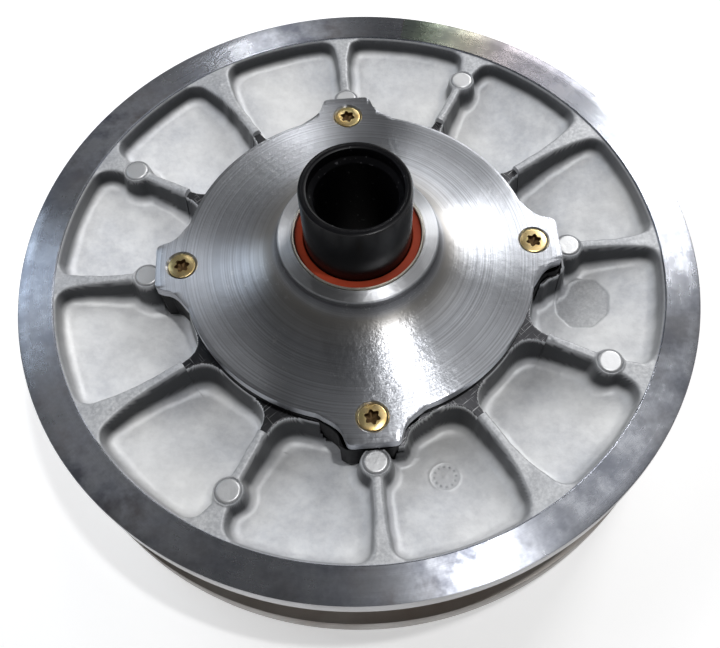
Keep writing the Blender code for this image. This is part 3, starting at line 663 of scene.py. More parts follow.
# Middle and width of each smudged stretch of the upper rim, in degrees, and its share
# The stretches at -140 and 145 degrees are painted dark reflection as well as smudge
SMUDGES_AND_DARK_REFLECTIONS = ((-25.0, 20.0, 0.45), (-85.0, 30.0, 0.62), (-140.0, 25.0, 0.8), (95.0, 14.0, 0.7),
           (145.0, 16.0, 0.95))
SHEEN_ARC = (33.0, 77.0)  # part of the rim, in degrees, painted with diffraction colours as a painted sheen
BLANK_PAD = (98.5, -12.5)  # radius and angle in degrees
BLANK_FLAT_R, BLANK_CORNER_R, BLANK_LONG = 11.0, 11.5, 1.12
ROUND_MARK = (98.5, -74.0)
MARK_R, MARK_DOTS, MARK_DOTS_R = 6.1, 12, 4.4
FLASHES = ((4, 121.0), (7, 119.0), (2, 88.5), (11, 88.0), (8, 87.6), (5, 88.2))  # rib and radius
WALL_RISE = 0.13  # plan width of a drafted wall for each millimetre of its height


def upper_face(r):
    return -RIM_THICK - (SHEAVE_R - r) * FACE_SLOPE


def lower_face(r):
    return -RIM_THICK - GROOVE_AT_RIM + (SHEAVE_R - r) * FACE_SLOPE


def smooth_min(a, b, reach):
    """The smaller of two distances, with the corner between them rounded over reach."""
    share = np.clip(reach - np.abs(a - b), 0.0, None) / reach
    return np.minimum(a, b) - share * share * reach / 4.0


def step(value, low, high):
    t = np.clip((value - low) / (high - low), 0.0, 1.0)
    return t * t * (3.0 - 2.0 * t)


def outside(x, y, corners):
    """Signed distance to a closed outline, positive outside it."""
    corners = np.array(corners, float)
    nearest = np.full(np.shape(x), 1e9)
    inside = np.zeros(np.shape(x), bool)
    for (ax, ay), (bx, by) in zip(corners, np.roll(corners, -1, axis=0)):
        ex, ey = bx - ax, by - ay
        share = np.clip(((x - ax) * ex + (y - ay) * ey) / (ex * ex + ey * ey), 0.0, 1.0)
        nearest = np.minimum(nearest, np.hypot(x - ax - share * ex, y - ay - share * ey))
        crosses = (ay > y) != (by > y)
        if by != ay:
            inside ^= crosses & (x < ax + (y - ay) * ex / (by - ay))
    return np.where(inside, -nearest, nearest)


def rib_table(values, wide=None):
    table = np.array([values[RIB_KINDS[k % 3]] for k in range(RIBS)], float)
    for rib, value in (wide or {}).items():
        table[rib] = value
    return table


def pocket_reach(r, angle, inner_r, inner_round, wide=None):
    """How far a point lies inside its pocket from the top edge of the wall, negative on ribs and rings."""
    first = np.floor(angle / PITCH).astype(int) % RIBS
    starts, halves = rib_table(FLARE_START), rib_table(FLARE_HALF, wide)
    sides = []
    for rib, off in ((first, np.mod(angle, PITCH)), ((first + 1) % RIBS, PITCH - np.mod(angle, PITCH))):
        along, across = r * np.cos(off), r * np.sin(off)
        slope = (halves[rib] - RIB_HALF) / (POCKET_OUTER_R - starts[rib])
        rib_side = across - RIB_HALF
        flare = (across - RIB_HALF - slope * (along - starts[rib])) / np.sqrt(1.0 + slope * slope)
        sides.append(smooth_min(rib_side, flare, 4.5))
    reach = smooth_min(sides[0], sides[1], 1.0)
    reach = smooth_min(reach, POCKET_OUTER_R - r, 6.0)
    return smooth_min(reach, r - inner_r, inner_round)


def wall_height(reach, top, floor, foot, crest=0.9):
    """Height of a drafted wall with a rounded crest and foot, falling from top to floor."""
    lean = math.atan(WALL_RISE)
    half = math.tan((math.pi / 2.0 - lean) / 2.0)
    foot = np.minimum(foot, 0.7 * (top - floor))
    toe = (top - floor) * WALL_RISE + half * foot
    arc_start = toe - foot * math.cos(lean)
    line = top - reach / WALL_RISE
    arc = floor + foot - np.sqrt(np.clip(foot**2 - (toe - reach) ** 2, 0.0, None))
    z = np.where(reach < arc_start, line, np.where(reach < toe, arc, floor))
    back = half * crest
    dome = top - crest + np.sqrt(np.clip(crest**2 - (reach + back) ** 2, 0.0, None))
    z = np.where(reach < crest * (math.cos(lean) - half), dome, z)
    return np.where(reach < -back, top, z)


def waves(x, y, seed, size):
    """A gentle unevenness, about -1 to 1, with bumps of roughly that size."""
    random = np.random.default_rng(seed)
    total = np.zeros(np.shape(x))
    for _ in range(7):
        turn, phase = random.uniform(0.0, 2.0 * math.pi, 2)
        pace = 2.0 * math.pi / (size * random.uniform(0.7, 1.6))
        total = total + np.sin(pace * (x * math.cos(turn) + y * math.sin(turn)) + phase)
    return total / 4.0


def quarter_place(r, angle, turn=0.0):
    """x outwards and y sideways from the nearest of the four lobes."""
    local = np.mod(angle - turn + math.pi / 4.0, math.pi / 2.0) - math.pi / 4.0
    return r * np.cos(local), r * np.sin(local)


def casting_mark(x, y, at_r, at_angle):
    cx, cy = polar(at_r, math.radians(at_angle))
    return x - cx, y - cy


def rise_along_y(value, r, angle):
    """How fast a grid of values rises along Y."""
    outwards = np.gradient(value, r[:, 0], axis=0)
    turn = angle[0, 1] - angle[0, 0]
    around = (np.roll(value, -1, axis=1) - np.roll(value, 1, axis=1)) / (2.0 * turn * r)
    return outwards * np.sin(angle) + around * np.cos(angle)


def seat_reach(angle, r, x, y):
    """Distance outside the cast seats beside the cover's lobes. Only some sides of the lobes have one."""
    seat = outside(x, y, SEAT_EDGE)
    lobe = np.round(angle / (math.pi / 2.0)).astype(int) % 4
    bottom = (lobe == 3) & (y > 0.0)
    right = (lobe == 0) & (y < 0.0)
    return np.where(bottom, seat,
                    np.where(right, np.maximum(outside(x, y, WRAP_EDGE), WRAP_FROM_R - r), 30.0))


def octagon_reach(x, y):
    """Distance outside the eight-sided blank pad, corners rounded."""
    dx, dy = casting_mark(x, y, *BLANK_PAD)
    turned = math.radians(BLANK_PAD[1])
    ox = dx * math.cos(turned) + dy * math.sin(turned)
    oy = (dy * math.cos(turned) - dx * math.sin(turned)) / BLANK_LONG
    turn = np.arctan2(oy, ox)
    fold = np.mod(turn + math.pi / 8.0, math.pi / 4.0) - math.pi / 8.0
    spread = np.hypot(ox, oy)
    return np.maximum(spread * np.cos(fold) - BLANK_FLAT_R, spread - BLANK_CORNER_R)


def upper_casting(radii, angles):
    """Heights, face finishes, and finish and painted shade values of the moveable sheave's open side, on
    radii and angles.
    """
    r, angle = np.meshgrid(radii, angles, indexing="ij")
    x, y = r * np.cos(angle), r * np.sin(angle)
    reach = pocket_reach(r, angle, UPPER_POCKET_R, 11.0, WIDE_RIBS)
    lx, ly = quarter_place(r, angle)
    seat = seat_reach(angle, r, lx, ly)
    reach = smooth_min(reach, seat, 2.5)
    inner_pad = np.hypot(lx - PADS_INNER_R, ly) - PAD_R
    px, py = quarter_place(r, angle, 2.0 * PITCH)
    outer_pad = np.hypot(px - PADS_OUTER_R, py) - PAD_R
    pad = np.minimum(inner_pad, outer_pad)
    reach = smooth_min(reach, pad, 1.6)
    uneven = 0.2 * waves(x, y, 5, 9.0) * step(r, 87.0, 90.0) * step(129.0 - r, 0.0, 2.0)
    reach = reach + uneven * step(pad, 0.0, 2.0)

    top = np.where(r < LAND_R, np.where(seat < 1.5, LAND - 0.3, LAND), RIB_TOP)
    top = top + (PAD_TOP - RIB_TOP) * step(-pad, -0.35, 0.1) * (r >= LAND_R)
    moat = np.exp(-(((pad + PAD_MOAT) / MOAT_WIDE) ** 2)) * (r >= LAND_R)
    floor = upper_face(r) + WALL
    floor = floor + 0.14 * waves(x, y, 2, 26.0) + 0.06 * waves(x, y, 3, 8.0)

    # Shallow blank pad with eight sides, where the real casting carries a number
    octagon = octagon_reach(x, y)
    floor = floor - 0.5 * step(-octagon, -0.3, 0.5)
    stain_and_shade = 0.42 * step(-octagon, -0.2, 0.5)

    # Plain round inspection mark: a raised circle with dots round it
    dx, dy = casting_mark(x, y, *ROUND_MARK)
    circle = np.hypot(dx, dy)
    floor = floor + 0.28 * np.exp(-(((circle - MARK_R) / 0.42) ** 2))
    floor = floor + 0.2 * np.exp(-(circle**2))
    dots = np.zeros(r.shape)
    for k in range(MARK_DOTS):
        mx, my = polar(MARK_DOTS_R, k * (2.0 * math.pi / MARK_DOTS))
        dot = np.exp(-(((dx - mx) ** 2 + (dy - my) ** 2) / 0.30))
        floor = floor - 0.2 * dot
        dots = np.maximum(dots, dot)
    stain_and_shade = np.maximum(stain_and_shade, np.maximum(0.12 * step(6.0 - circle, 0.0, 0.5), 0.9 * dots))

    crest = np.where(r < LAND_R, 0.6, 1.6)
    z = wall_height(reach, top, floor, 4.4 + 1.1 * waves(x, y, 41, 38.0), crest)
    z = z - MOAT_DEEP * moat
    # The ends of some ribs keep a little casting flash
    flash = np.zeros(r.shape)
    for rib, at_r in FLASHES:
        fx, fy = casting_mark(x, y, at_r, 360.0 / RIBS * rib)
        ragged = 0.5 + 0.5 * waves(x, y, 20 + rib, 2.2)
        flash = np.maximum(flash, ragged * np.exp(-((fx**2 + fy**2) / 5.0)))
    z = z + FLASH_HIGH * flash * (r >= LAND_R) * (reach < 1.5)

    notch = r < cover_edge(angle - EAR_TURN) + EAR_GAP
    notch = notch & (cover_edge(angle - EAR_TURN) > DISC_R + EAR_STEP) & (r > HUB_EDGE_R)
    z = np.where(notch, np.minimum(z, EAR_FLOOR), z)

    depth = np.clip((top - z) / np.maximum(top - floor, 1.0), 0.0, 1.0)
    # Painted shade on the walls by depth, strongest on walls that face the front (-Y), and in each pad's
    # moat
    front = np.clip(0.5 - 0.75 * rise_along_y(reach, r, angle), 0.0, 1.0)
    wall = step(depth, 0.02, 0.12) * (1.0 - step(depth, 0.50 + 0.22 * front, 0.91 + 0.06 * front))
    wall = np.maximum(wall * (0.40 + 0.60 * front), moat)
    disc = step(-pad, PAD_MOAT + 0.1, PAD_MOAT + 0.5) * (r >= LAND_R)
    # Rib crests darkened: partly grainy, scratched casting, partly painted shade that keeps them darker
    # than the floors
    ridge = step(-reach, -0.6, 0.6) * (r >= LAND_R) * (1.0 - disc)
    stain_and_shade = np.maximum(stain_and_shade, ridge * (0.54 + 0.08 * waves(x, y, 31, 9.0)))
    level = (depth < 0.02) & (r < LAND_R)
    level = level[:-1] & level[1:]
    level = level & np.roll(level, -1, axis=1)
    return z, np.where(level, LAND_FACE, CAST_FACE), {"wall": wall, "machined": disc, "stain_and_shade": stain_and_shade}


def lower_casting(radii, angles):
    """Heights of the fixed sheave's ribbed underside, with the same ribs."""
    r, angle = np.meshgrid(radii, angles, indexing="ij")
    x, y = r * np.cos(angle), r * np.sin(angle)
    reach = pocket_reach(r, angle, LOWER_POCKET_R, 9.0)
    reach = reach + 0.2 * waves(x, y, 9, 9.0) * step(r, 86.0, 89.0) * step(129.0 - r, 0.0, 2.0)
    top = np.full(r.shape, -FIXED_RING - 0.6)
    floor = WALL - lower_face(r) + 0.1 * waves(x, y, 12, 26.0)
    z = wall_height(reach, top, floor, 3.4)
    depth = np.clip((top - z) / np.maximum(top - floor, 1.0), 0.0, 1.0)
    # Painted shade on the underside's pocket walls, fading out towards their foot
    wall = step(depth, 0.02, 0.12) * (1.0 - step(depth, 0.55, 0.93))
    return -z, {"wall": wall, "machined": np.zeros(r.shape), "stain_and_shade": np.zeros(r.shape)}


def rim_smudge_and_painted_light(angles):
    """Share of smudges, partly painted dark reflection, and the place in the painted diffraction colours,
    round the upper rim.
    """
    degrees = np.degrees(angles)
    smudge = np.full(len(angles), 0.22)
    for middle, width, share in SMUDGES_AND_DARK_REFLECTIONS:
        away = np.mod(degrees - middle + 180.0, 360.0) - 180.0
        smudge = np.maximum(smudge, share * np.exp(-((away / width) ** 2)))
    low, high = SHEEN_ARC
    inside = (degrees > low) & (degrees < high)
    return smudge, np.where(inside, (degrees - low) / (high - low), 0.0)


def moveable_sheave(*looks):
    """looks are the finishes of the casting, rim, belt face, machined land and rim's side, in order; the
    casting and land carry painted shade, the rim painted reflection and a painted sheen.
    """
    skin = Skin()
    near = [HUB_EDGE_R, 66.0, 69.0, 71.0]
    seat = np.arange(72.0, LAND_R - 0.3, ROW_STEP)
    far = np.arange(LAND_R + 0.1, POCKET_OUTER_R - 0.2, ROW_STEP)
    radii = np.concatenate((near, seat, [LAND_R - 0.12, LAND_R + 0.02], far,
                            [POCKET_OUTER_R, RING_INNER_R]))
    z, kinds, values = upper_casting(radii, skin.angles)
    z[-1] = RIB_TOP
    values["wall"][-1] = 0.0
    skin.sheet([HUB_R, HUB_EDGE_R], [LAND - 0.4, LAND])
    skin.sheet(radii[:, None], z, kinds, **values)
    bead = [(RING_INNER_R, RIB_TOP), (RING_INNER_R + 0.25, -0.12), (RING_INNER_R + 0.6, 0.0)]
    skin.profile(bead, RIM_FACE)
    rim_r = (RING_INNER_R + 0.6, 134.0, 140.0, SHEAVE_R - 0.8, SHEAVE_R - 0.25)
    # Smudges, partly painted dark reflection, and painted diffraction colours, round the rim
    smudge, film = (np.tile(value, (len(rim_r), 1)) for value in rim_smudge_and_painted_light(skin.angles))
    skin.sheet(rim_r, (0.0, 0.0, 0.0, 0.0, -0.2), RIM_FACE, smudge=smudge, film=film)
    skin.profile([(SHEAVE_R - 0.25, -0.2), (SHEAVE_R, -0.8), (SHEAVE_R, -4.0),
                  (SHEAVE_R, upper_face(SHEAVE_R) + 0.5), (SHEAVE_R - 0.4, upper_face(SHEAVE_R) - 0.1)],
                 SIDE_FACE)
    belt = [(r, upper_face(r)) for r in np.linspace(SHEAVE_R - 0.4, FACE_INNER_R, 12)]
    skin.profile(belt, BELT_FACE)
    skin.profile([(FACE_INNER_R, upper_face(FACE_INNER_R)), (79.0, -26.0), (72.0, -27.4), (70.3, -28.6),
                  (69.5, -29.9), (69.5, -53.2), (68.7, -54.0), (25.7, -54.0), (25.3, -53.6), (25.3, -36.4),
                  (25.7, -36.0), (27.6, -36.0), (28.0, -36.4), (28.0, -48.0), (29.0, -49.0), (61.0, -49.0),
                  (HUB_R, -47.0), (HUB_R, LAND - 0.4)], CAST_FACE)
    return piece("moveable_sheave_casting", skin.mesh("moveable_sheave_casting"), looks, "moveable_side",
                 "cast_aluminium", "moveable_sheave")


def fixed_sheave(cast, ring, face):
    skin = Skin(960)
    inner = POST_R + GAP
    skin.profile([(inner, -57.2), (inner + 0.4, -56.8), (70.5, -56.8), (72.0, -55.3), (72.0, -31.6),
                  (73.0, -29.6), (75.0, -28.2), (80.0, -27.0), (FACE_INNER_R, lower_face(FACE_INNER_R))],
                 CAST_FACE)
    belt = [(r, lower_face(r)) for r in np.linspace(FACE_INNER_R, SHEAVE_R - 0.4, 12)]
    skin.profile(belt, BELT_FACE)
    skin.profile([(SHEAVE_R - 0.4, lower_face(SHEAVE_R) + 0.1), (SHEAVE_R, lower_face(SHEAVE_R) - 0.5),
                  (SHEAVE_R, -48.0), (SHEAVE_R, FIXED_RING + 0.8), (SHEAVE_R - 0.25, FIXED_RING + 0.2),
                  (SHEAVE_R - 0.8, FIXED_RING), (138.0, FIXED_RING), (RING_INNER_R + 0.6, FIXED_RING),
                  (RING_INNER_R + 0.2, FIXED_RING + 0.2), (RING_INNER_R, FIXED_RING + 0.6)], RIM_FACE)
    radii = np.concatenate(([RING_INNER_R], np.arange(POCKET_OUTER_R, 78.4, -0.75), [78.0]))
    z, values = lower_casting(radii, skin.angles)
    skin.sheet(radii[:, None], z, CAST_FACE, **values)
    skin.profile([(78.0, FIXED_RING + 0.6), (77.6, -56.0), (76.7, -61.5), (75.4, -62.7),
                  (inner + 0.4, -62.7), (inner, -62.3), (inner, -57.2)], CAST_FACE)
    return piece("fixed_sheave_casting", skin.mesh("fixed_sheave_casting"), (cast, ring, face),
                 "fixed_side", "cast_aluminium", "fixed_sheave")


# -------------------- cover and screws
# Edge of the cover beside a lobe, as (outwards, sideways), and the (radius, height) line of its bell
BELL_END_R = 68.0
LOBE_EDGE = ((86.0, 0.0), (86.0, 5.0), (86.0, 8.6), (85.4, 10.3), (83.2, 11.3), (80.4, 12.0), (77.8, 13.6),
             (75.6, 16.2), (73.6, 19.2), (71.9, 21.3), (70.5, 25.6))
BELL = ((33.3, 19.9), (33.35, 18.4), (33.6, 16.8), (35.2, 13.8), (38.2, 11.1), (43.0, 8.9), (50.0, 7.1),
        (57.0, 6.1), (64.0, COVER_TOP), (BELL_END_R, COVER_TOP))
BOSS_BORE = SHELL_OUT + 0.2


def cover_edge(angles):
    """Distance of the cover's edge from the axis at each angle."""
    edge = softened(LOBE_EDGE, 2)
    at = np.arctan2(edge[:, 1], edge[:, 0])
    far = np.hypot(edge[:, 0], edge[:, 1])
    local = np.abs(np.mod(angles + math.pi / 4.0, math.pi / 2.0) - math.pi / 4.0)
    return np.maximum(DISC_R, np.interp(local, at, far, right=DISC_R))


def cover(metal):
    skin = Skin()
    edge = cover_edge(skin.angles)
    skin.profile([(BOSS_BORE, BOSS_TOP - 0.5), (BOSS_BORE + 0.5, BOSS_TOP), (32.6, BOSS_TOP),
                  (33.25, BOSS_TOP - 0.65)])
    skin.profile([(33.25, BOSS_TOP - 0.65), *softened(BELL, 3)])
    rows = [np.full(skin.columns, BELL_END_R)]
    rows += [BELL_END_R + share * (edge - 0.45 - BELL_END_R) for share in (0.25, 0.5, 0.75, 1.0)]
    skin.sheet(np.array(rows), np.full(5, COVER_TOP))
    skin.sheet(np.array([edge - 0.45, edge - 0.1, edge, edge, edge - 0.3]),
               [COVER_TOP, COVER_TOP - 0.15, COVER_TOP - 0.5, COVER_LOW + 0.3, COVER_LOW])
    skin.sheet(np.array([edge - 0.3, np.full(skin.columns, 51.5)]), [COVER_LOW, COVER_LOW])
    skin.profile([(51.5, COVER_LOW), (50.6, 2.8), (42.0, 5.6), (36.0, 9.0), (BOSS_BORE + 0.4, 9.0),
                  (BOSS_BORE, 9.4), (BOSS_BORE, BOSS_TOP - 0.5)])
    mesh = skin.mesh("cover_bell", 24.0)
    weld(mesh)
    sinks = []
    for quarter in QUARTERS:
        at = polar(SCREW_PITCH_R, quarter)
        rings = [(7.35, COVER_TOP + 0.6), (6.75, COVER_TOP), (3.4, 1.6), (3.4, -1.0)]
        sinks.append(solid_of_rings("sink", rings, at, 64))
    return piece("cover_bell", drilled(mesh, sinks), (metal,), "moveable_side", "turned_aluminium", "cover")


def cam_ears(metal):
    """Black shelf of the cam under the cover: a thin ring with a deep ear under each lobe of the cover."""
    skin = Skin(960)
    edge = cover_edge(skin.angles - EAR_TURN)
    low = np.where(edge > DISC_R + EAR_STEP, EAR_LOW, LAND + 0.4)
    inner = np.full(skin.columns, 64.0)
    rows = np.array([inner, edge - 0.4, edge, edge, edge - 0.4, inner, inner])
    flat = np.zeros(skin.columns)
    skin.sheet(rows, np.array([flat, flat, flat - 0.4, low + 0.4, low, low, flat]))
    mesh = skin.mesh("cam_ears")
    weld(mesh)
    rings = [(3.3, 1.0), (3.3, EAR_LOW - 1.0)]
    holes = [solid_of_rings("hole", rings, polar(SCREW_PITCH_R, quarter), 40) for quarter in QUARTERS]
    return piece("cam_ears", drilled(mesh, holes), (metal,), "moveable_side", "black_steel")


def weld(mesh):
    """Joins the doubled points where two sheets of a skin meet, so that the mesh is closed."""
    shape = bmesh.new()
    shape.from_mesh(mesh)
    bmesh.ops.remove_doubles(shape, verts=shape.verts, dist=0.000004)
    shape.to_mesh(mesh)
    shape.free()


def six_lobe(angle):
    return 0.86 + 0.14 * math.cos(6.0 * angle)


def cover_screw(number, quarter, metal, recess_shade):
    at = polar(SCREW_PITCH_R, quarter)
    rings = [(5.2, SCREW_TOP), (5.55, SCREW_TOP - 0.12), (5.75, SCREW_TOP - 0.4), (5.75, SCREW_TOP - 0.6),
             (3.0, SCREW_TOP - 3.3), (2.95, SCREW_TOP - 3.6), (2.95, -23.2), (2.5, -23.5)]
    body = painted(solid_of_rings(f"screw_{number}", rings, at, 72), (metal,))
    recess = [(3.3, SCREW_TOP + 0.2), (3.3, SCREW_TOP), (3.05, SCREW_TOP - 0.25), (3.0, SCREW_TOP - 2.2),
              (1.2, SCREW_TOP - 2.9)]
    socket = solid_of_rings(f"socket_{number}", recess, at, 72, six_lobe, quarter + 0.2)
    mesh = drilled(body, [painted(socket, (recess_shade,))])
    return piece(f"cover_screw_head_{number}", mesh, (metal,), "moveable_side", "yellow_zinc",
                 f"cover_screw_{number}")


# -------------------- post and bushings
def from_base(z):
    return z - RING_TOP


SPLINE_TEETH, SPLINE_MINOR_R, SPLINE_MAJOR_R, SPLINE_HIGH = 16, 12.4, 13.8, 34.0
BORE_R, MOUTH_R, MOUTH_DEPTH = 16.6, 18.7, 5.0
FLANGE_R, FLANGE_TOP = 38.0, 5.0
FLANGE_PITCH_R = 30.5


def post(outside_metal, bore_metal):
    skin = Skin(384)
    deck, mouth = from_base(FLANGE_TOP), POST_TOP - MOUTH_DEPTH
    skin.profile([(MOUTH_R + 0.9, POST_TOP), (POST_R - 0.9, POST_TOP), (POST_R - 0.3, POST_TOP - 0.2),
                  (POST_R, POST_TOP - 0.9), (POST_R, 8.2), (POST_R - 0.2, 8.0), (POST_R - 1.1, 8.0),
                  (POST_R - 1.1, 6.0), (POST_R - 0.2, 6.0), (POST_R, 5.8), (POST_R, deck + 1.0),
                  (POST_R + 0.2, deck + 0.3)])
    skin.profile([(POST_R + 0.2, deck + 0.3), (POST_R + 0.5, deck), (FLANGE_R - 0.5, deck),
                  (FLANGE_R, deck - 0.5), (FLANGE_R, from_base(0.5)), (FLANGE_R - 0.5, from_base(0.0)),
                  (SPLINE_MAJOR_R + 1.0, from_base(0.0))])
    wave = np.cos(SPLINE_TEETH * skin.angles)
    share = np.clip(0.5 + 1.5 * wave, 0.0, 1.0)
    teeth = SPLINE_MINOR_R + (SPLINE_MAJOR_R - SPLINE_MINOR_R) * share
    chamfer, lead, end = (np.full(skin.columns, SPLINE_MAJOR_R + more) for more in (1.0, 0.3, 0.2))
    rows = np.array([chamfer, lead, teeth, teeth, teeth, end])
    levels = [from_base(z) for z in (0.0, 0.5, 1.6, 16.0, SPLINE_HIGH, SPLINE_HIGH)]
    skin.sheet(rows, levels, 1)
    skin.profile([(SPLINE_MAJOR_R + 0.2, from_base(SPLINE_HIGH)),
                  (SPLINE_MAJOR_R + 0.4, from_base(SPLINE_HIGH + 1.0)),
                  (BORE_R, from_base(SPLINE_HIGH + 4.0)), (BORE_R, 20.0), (BORE_R, mouth - 1.6),
                  (BORE_R + 0.3, mouth - 1.2), (MOUTH_R - 0.3, mouth), (MOUTH_R, mouth + 0.3),
                  (MOUTH_R, POST_TOP - 0.9), (MOUTH_R + 0.25, POST_TOP - 0.3),
                  (MOUTH_R + 0.9, POST_TOP)], 1)
    mesh = skin.mesh("post_tube")
    weld(mesh)
    sinks = []
    for k in range(6):
        at = polar(FLANGE_PITCH_R, k * math.pi / 3.0)
        rings = [(r, from_base(z)) for r, z in ((2.9, 8.0), (2.9, 3.6), (5.6, 0.0), (6.1, -0.5))]
        sinks.append(solid_of_rings("sink", rings, at, 40))
    mesh = drilled(painted(mesh, (outside_metal, bore_metal)), sinks)
    return piece("post_tube", mesh, (outside_metal, bore_metal), "fixed_side", "black_steel", "post")


def flange_screw(number, metal):
    at = polar(FLANGE_PITCH_R, (number - 1) * math.pi / 3.0)
    profile = ((2.1, 10.6), (2.5, 10.2), (2.5, 3.2), (4.7, 0.6), (4.75, 0.45), (4.55, 0.3))
    body = solid_of_rings(f"flange_screw_{number}", [(r, from_base(z)) for r, z in profile], at, 48)
    hexagon = [(r, from_base(z)) for r, z in ((1.0, 2.4), (1.9, 1.9), (1.9, 0.0))]
    mesh = drilled(body, [solid_of_rings("socket", hexagon, at, 6)])
    return piece(f"flange_screw_head_{number}", mesh, (metal,), "fixed_side", "steel",
                 f"flange_screw_{number}")


SHELL_IN = 26.2
LINER_OUT = 26.0


def bushings(shell_metal, liner_stuff):
    split = math.radians(225.0)
    columns = 360
    skin = Skin(columns)
    profile = [(SHELL_IN, SHELL_TOP - 0.15), (SHELL_IN + 0.15, SHELL_TOP), (SHELL_OUT - 0.15, SHELL_TOP),
               (SHELL_OUT, SHELL_TOP - 0.15), (SHELL_OUT, BUSH_LOW), (SHELL_IN, BUSH_LOW),
               (SHELL_IN, SHELL_TOP - 0.15)]
    radii, heights = (np.array(v) for v in zip(*profile))
    # The strip is bent round and its ends leave a thin slit: the last column of faces stays open
    skin.angles = split + 0.006 + np.arange(columns) * ((2.0 * math.pi - 0.012) / (columns - 1))
    skin.sheet(radii, heights)
    mesh = skin.mesh("bushing_shell_ring")
    piece("bushing_shell_ring", opened(mesh, columns, len(profile)), (shell_metal,), "moveable_side",
          "bushing_shell", "bushing_shell")
    inner = POST_R + GAP
    liner = Skin(256)
    liner.profile([(inner, LINER_TOP - 0.4), (inner + 0.4, LINER_TOP), (LINER_OUT - 0.2, LINER_TOP),
                   (LINER_OUT, LINER_TOP - 0.2), (LINER_OUT, BUSH_LOW), (inner, BUSH_LOW),
                   (inner, LINER_TOP - 0.4)])
    piece("bushing_liner_ring", liner.mesh("bushing_liner_ring"), (liner_stuff,), "moveable_side",
          "wear_liner", "bushing_liner")


def opened(mesh, columns, rows):
    """Takes away the last column of faces of a skin and closes the two ends that it leaves."""
    shape = bmesh.new()
    shape.from_mesh(mesh)
    shape.faces.ensure_lookup_table()
    shape.verts.ensure_lookup_table()
    last = [shape.faces[row * columns + columns - 1] for row in range(rows - 1)]
    bmesh.ops.delete(shape, geom=last, context="FACES_ONLY")
    shape.verts.ensure_lookup_table()
    shape.faces.new([shape.verts[row * columns] for row in range(rows - 1)])
    shape.faces.new([shape.verts[row * columns + columns - 1] for row in reversed(range(rows - 1))])
    bmesh.ops.remove_doubles(shape, verts=shape.verts, dist=0.000001)
    bmesh.ops.recalc_face_normals(shape, faces=shape.faces)
    shape.to_mesh(mesh)
    shape.free()
    shade(mesh)
    return mesh


# -------------------- spring
SPRING_R, SPRING_WIRE = 30.6, 3.8
SPRING_TURNS, SPRING_END_TURNS, SPRING_END_GAP = 4.2, 0.75, 0.4
SPRING_STEPS, WIRE_SIDES = 520, 20


def coil_spring(metal):
    """Compression spring with closed ends. It hangs from the spider."""
    low, top = (corner.z / MM - RING_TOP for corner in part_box("spring"))
    start, end = low + SPRING_WIRE / 2.0, top - SPRING_WIRE / 2.0
    end_rise = SPRING_END_TURNS * (SPRING_WIRE + SPRING_END_GAP)
    turns = np.linspace(0.0, SPRING_TURNS, SPRING_STEPS)
    middle = np.interp(turns, (0.0, SPRING_END_TURNS, SPRING_TURNS - SPRING_END_TURNS, SPRING_TURNS),
                       (start, start + end_rise, end - end_rise, end))
    around = np.linspace(0.0, 2.0 * math.pi, WIRE_SIDES, endpoint=False)
    r = SPRING_R + SPRING_WIRE / 2.0 * np.cos(around)[None, :]
    z = middle[:, None] + SPRING_WIRE / 2.0 * np.sin(around)[None, :]
    turned = 2.0 * math.pi * turns[:, None]
    points = np.stack((r * np.cos(turned) * MM, r * np.sin(turned) * MM, height(z)), axis=-1)
    mesh = solid_of_loops("spring_coil", points.reshape(-1, 3).tolist(), WIRE_SIDES)
    shade(mesh)
    coil = piece("spring_coil", mesh, (metal,), "fixed_side", "spring_steel", "spring")
    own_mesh(coil)


# -------------------- CAD nodes that stay
def dress(node, look):
    """Puts a worked material on a CAD node."""
    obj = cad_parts[node]
    if not obj.material_slots:
        obj.data.materials.append(look)
    for held in obj.material_slots:
        held.material = look


# -------------------- stage
def floor_plane(look):
    half = 3.0
    mesh = bpy.data.meshes.new("floor")
    mesh.from_pydata([(-half, -half, 0.0), (half, -half, 0.0), (half, half, 0.0), (-half, half, 0.0)], [],
                     [(0, 1, 2, 3)])
    mesh.materials.append(look)
    obj = placed("floor", mesh)


AIM = Vector((0.0, 0.0, 0.06))


def area_light(name, direction, distance, size, power, colour=(1.0, 1.0, 1.0)):
    data = bpy.data.lights.new(name, "AREA")
    data.shape = "RECTANGLE"
    data.size, data.size_y = size
    data.energy = power
    data.color = colour
    obj = placed(name, data)
    back = Vector(direction).normalized()
    obj.location = AIM + back * distance
    obj.rotation_mode = "QUATERNION"
    obj.rotation_quaternion = back.to_track_quat("Z", "Y")
    return obj


def studio():
    area_light("overhead", (0.195, -0.08, 0.977), 1.1, (0.035, 0.09), 3.0)
    area_light("right_back", (0.55, 0.60, 0.58), 1.2, (0.28, 0.66), 4.5)
    area_light("upper_right", (0.38, 0.20, 0.90), 1.2, (0.50, 0.50), 0.6)
    area_light("back_panel", (0.35, 0.82, 0.44), 1.3, (0.46, 0.30), 1.75)
    area_light("back_strip", (-0.086, 0.706, 0.70), 1.35, (0.04, 0.30), 0.4)
    area_light("left_cool", (-0.60, 0.47, 0.65), 1.3, (0.30, 0.45), 0.8, (0.74, 0.86, 1.0))
    fill = area_light("left_fill", (-0.655, 0.187, 0.73), 0.534, (0.35, 0.35), 1.1, (0.97, 0.98, 1.0))
    fill.visible_glossy = False  # it lifts the casting without a highlight of its own on the turned metal
    world = bpy.data.worlds.new("studio")
    world.use_nodes = True
    background = world.node_tree.nodes["Background"]
    background.inputs["Color"].default_value = (1.0, 1.0, 1.0, 1.0)
    background.inputs["Strength"].default_value = 0.07
    bpy.context.scene.world = world
    bpy.context.scene.view_settings.view_transform = "Standard"


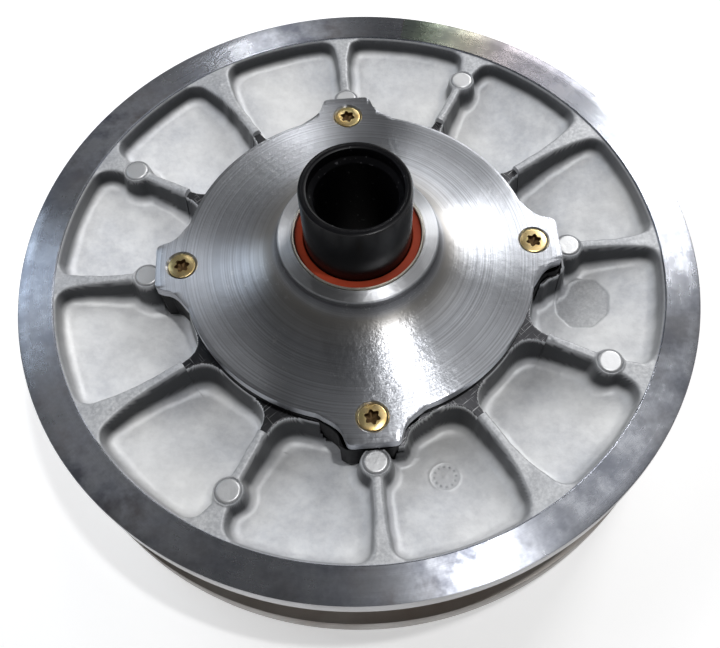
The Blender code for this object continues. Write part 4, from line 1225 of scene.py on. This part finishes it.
CAMERA_AZIMUTH = math.radians(-4.02)
CAMERA_ELEVATION = math.radians(63.18)
CAMERA_ROLL = math.radians(-0.72)
CAMERA_AIM = Vector((0.00639, -0.03911, 0.068))
CAMERA_DISTANCE = 0.35218
CAMERA_LENS = 42.918
CAMERA_SHIFT = (-0.0297, 0.0209)


def camera():
    data = bpy.data.cameras.new("camera")
    data.lens = CAMERA_LENS
    data.shift_x, data.shift_y = CAMERA_SHIFT
    data.clip_start, data.clip_end = 0.01, 20.0
    obj = placed("camera", data)
    level = math.cos(CAMERA_ELEVATION)
    back = Vector((math.sin(CAMERA_AZIMUTH) * level, -math.cos(CAMERA_AZIMUTH) * level,
                   math.sin(CAMERA_ELEVATION)))
    right = Vector((math.cos(CAMERA_AZIMUTH), math.sin(CAMERA_AZIMUTH), 0.0))
    up = back.cross(right)
    turned = Matrix((right, up, back)).transposed()
    obj.rotation_mode = "QUATERNION"
    obj.rotation_quaternion = (turned @ Matrix.Rotation(CAMERA_ROLL, 3, "Z")).to_quaternion()
    obj.location = CAMERA_AIM + back * CAMERA_DISTANCE
    bpy.context.scene.camera = obj


def main():
    cast, face = cast_aluminium(), belt_face()
    black, bore, steel = black_steel(), bored_steel(), bare_steel()
    dark_spring, zinc, recess_shade, bearing = spring_steel(), yellow_zinc(), recess_zinc(), bronze()
    moveable_sheave(cast, turned_ring(), face, shaded_turned_land(), turned_side())
    fixed_sheave(cast, dull_rim(), face)
    cover(turned_cover())
    shaded = matt_black()
    cam_ears(shaded)
    for k, quarter in enumerate(QUARTERS):
        cover_screw(k + 1, quarter, zinc, recess_shade)
    post(black, bore)
    for number in range(1, 7):
        flange_screw(number, steel)
    bushings(bushing_metal(), wear_liner())
    coil_spring(dark_spring)
    polymer = roller_polymer()
    for node, look in (("cam", shaded), ("spider", steel), ("spider_ring", dark_spring),
                       ("spring_seat", steel), ("lower_bushing", bearing)):
        dress(node, look)
    for number in range(1, 4):
        dress(f"roller_{number}", polymer)
        dress(f"roller_bush_{number}", bearing)
        dress(f"roller_pin_{number}", steel)
        dress(f"pin_clip_{number}", dark_spring)
    floor_plane(pale_floor())
    studio()
    camera()


main()
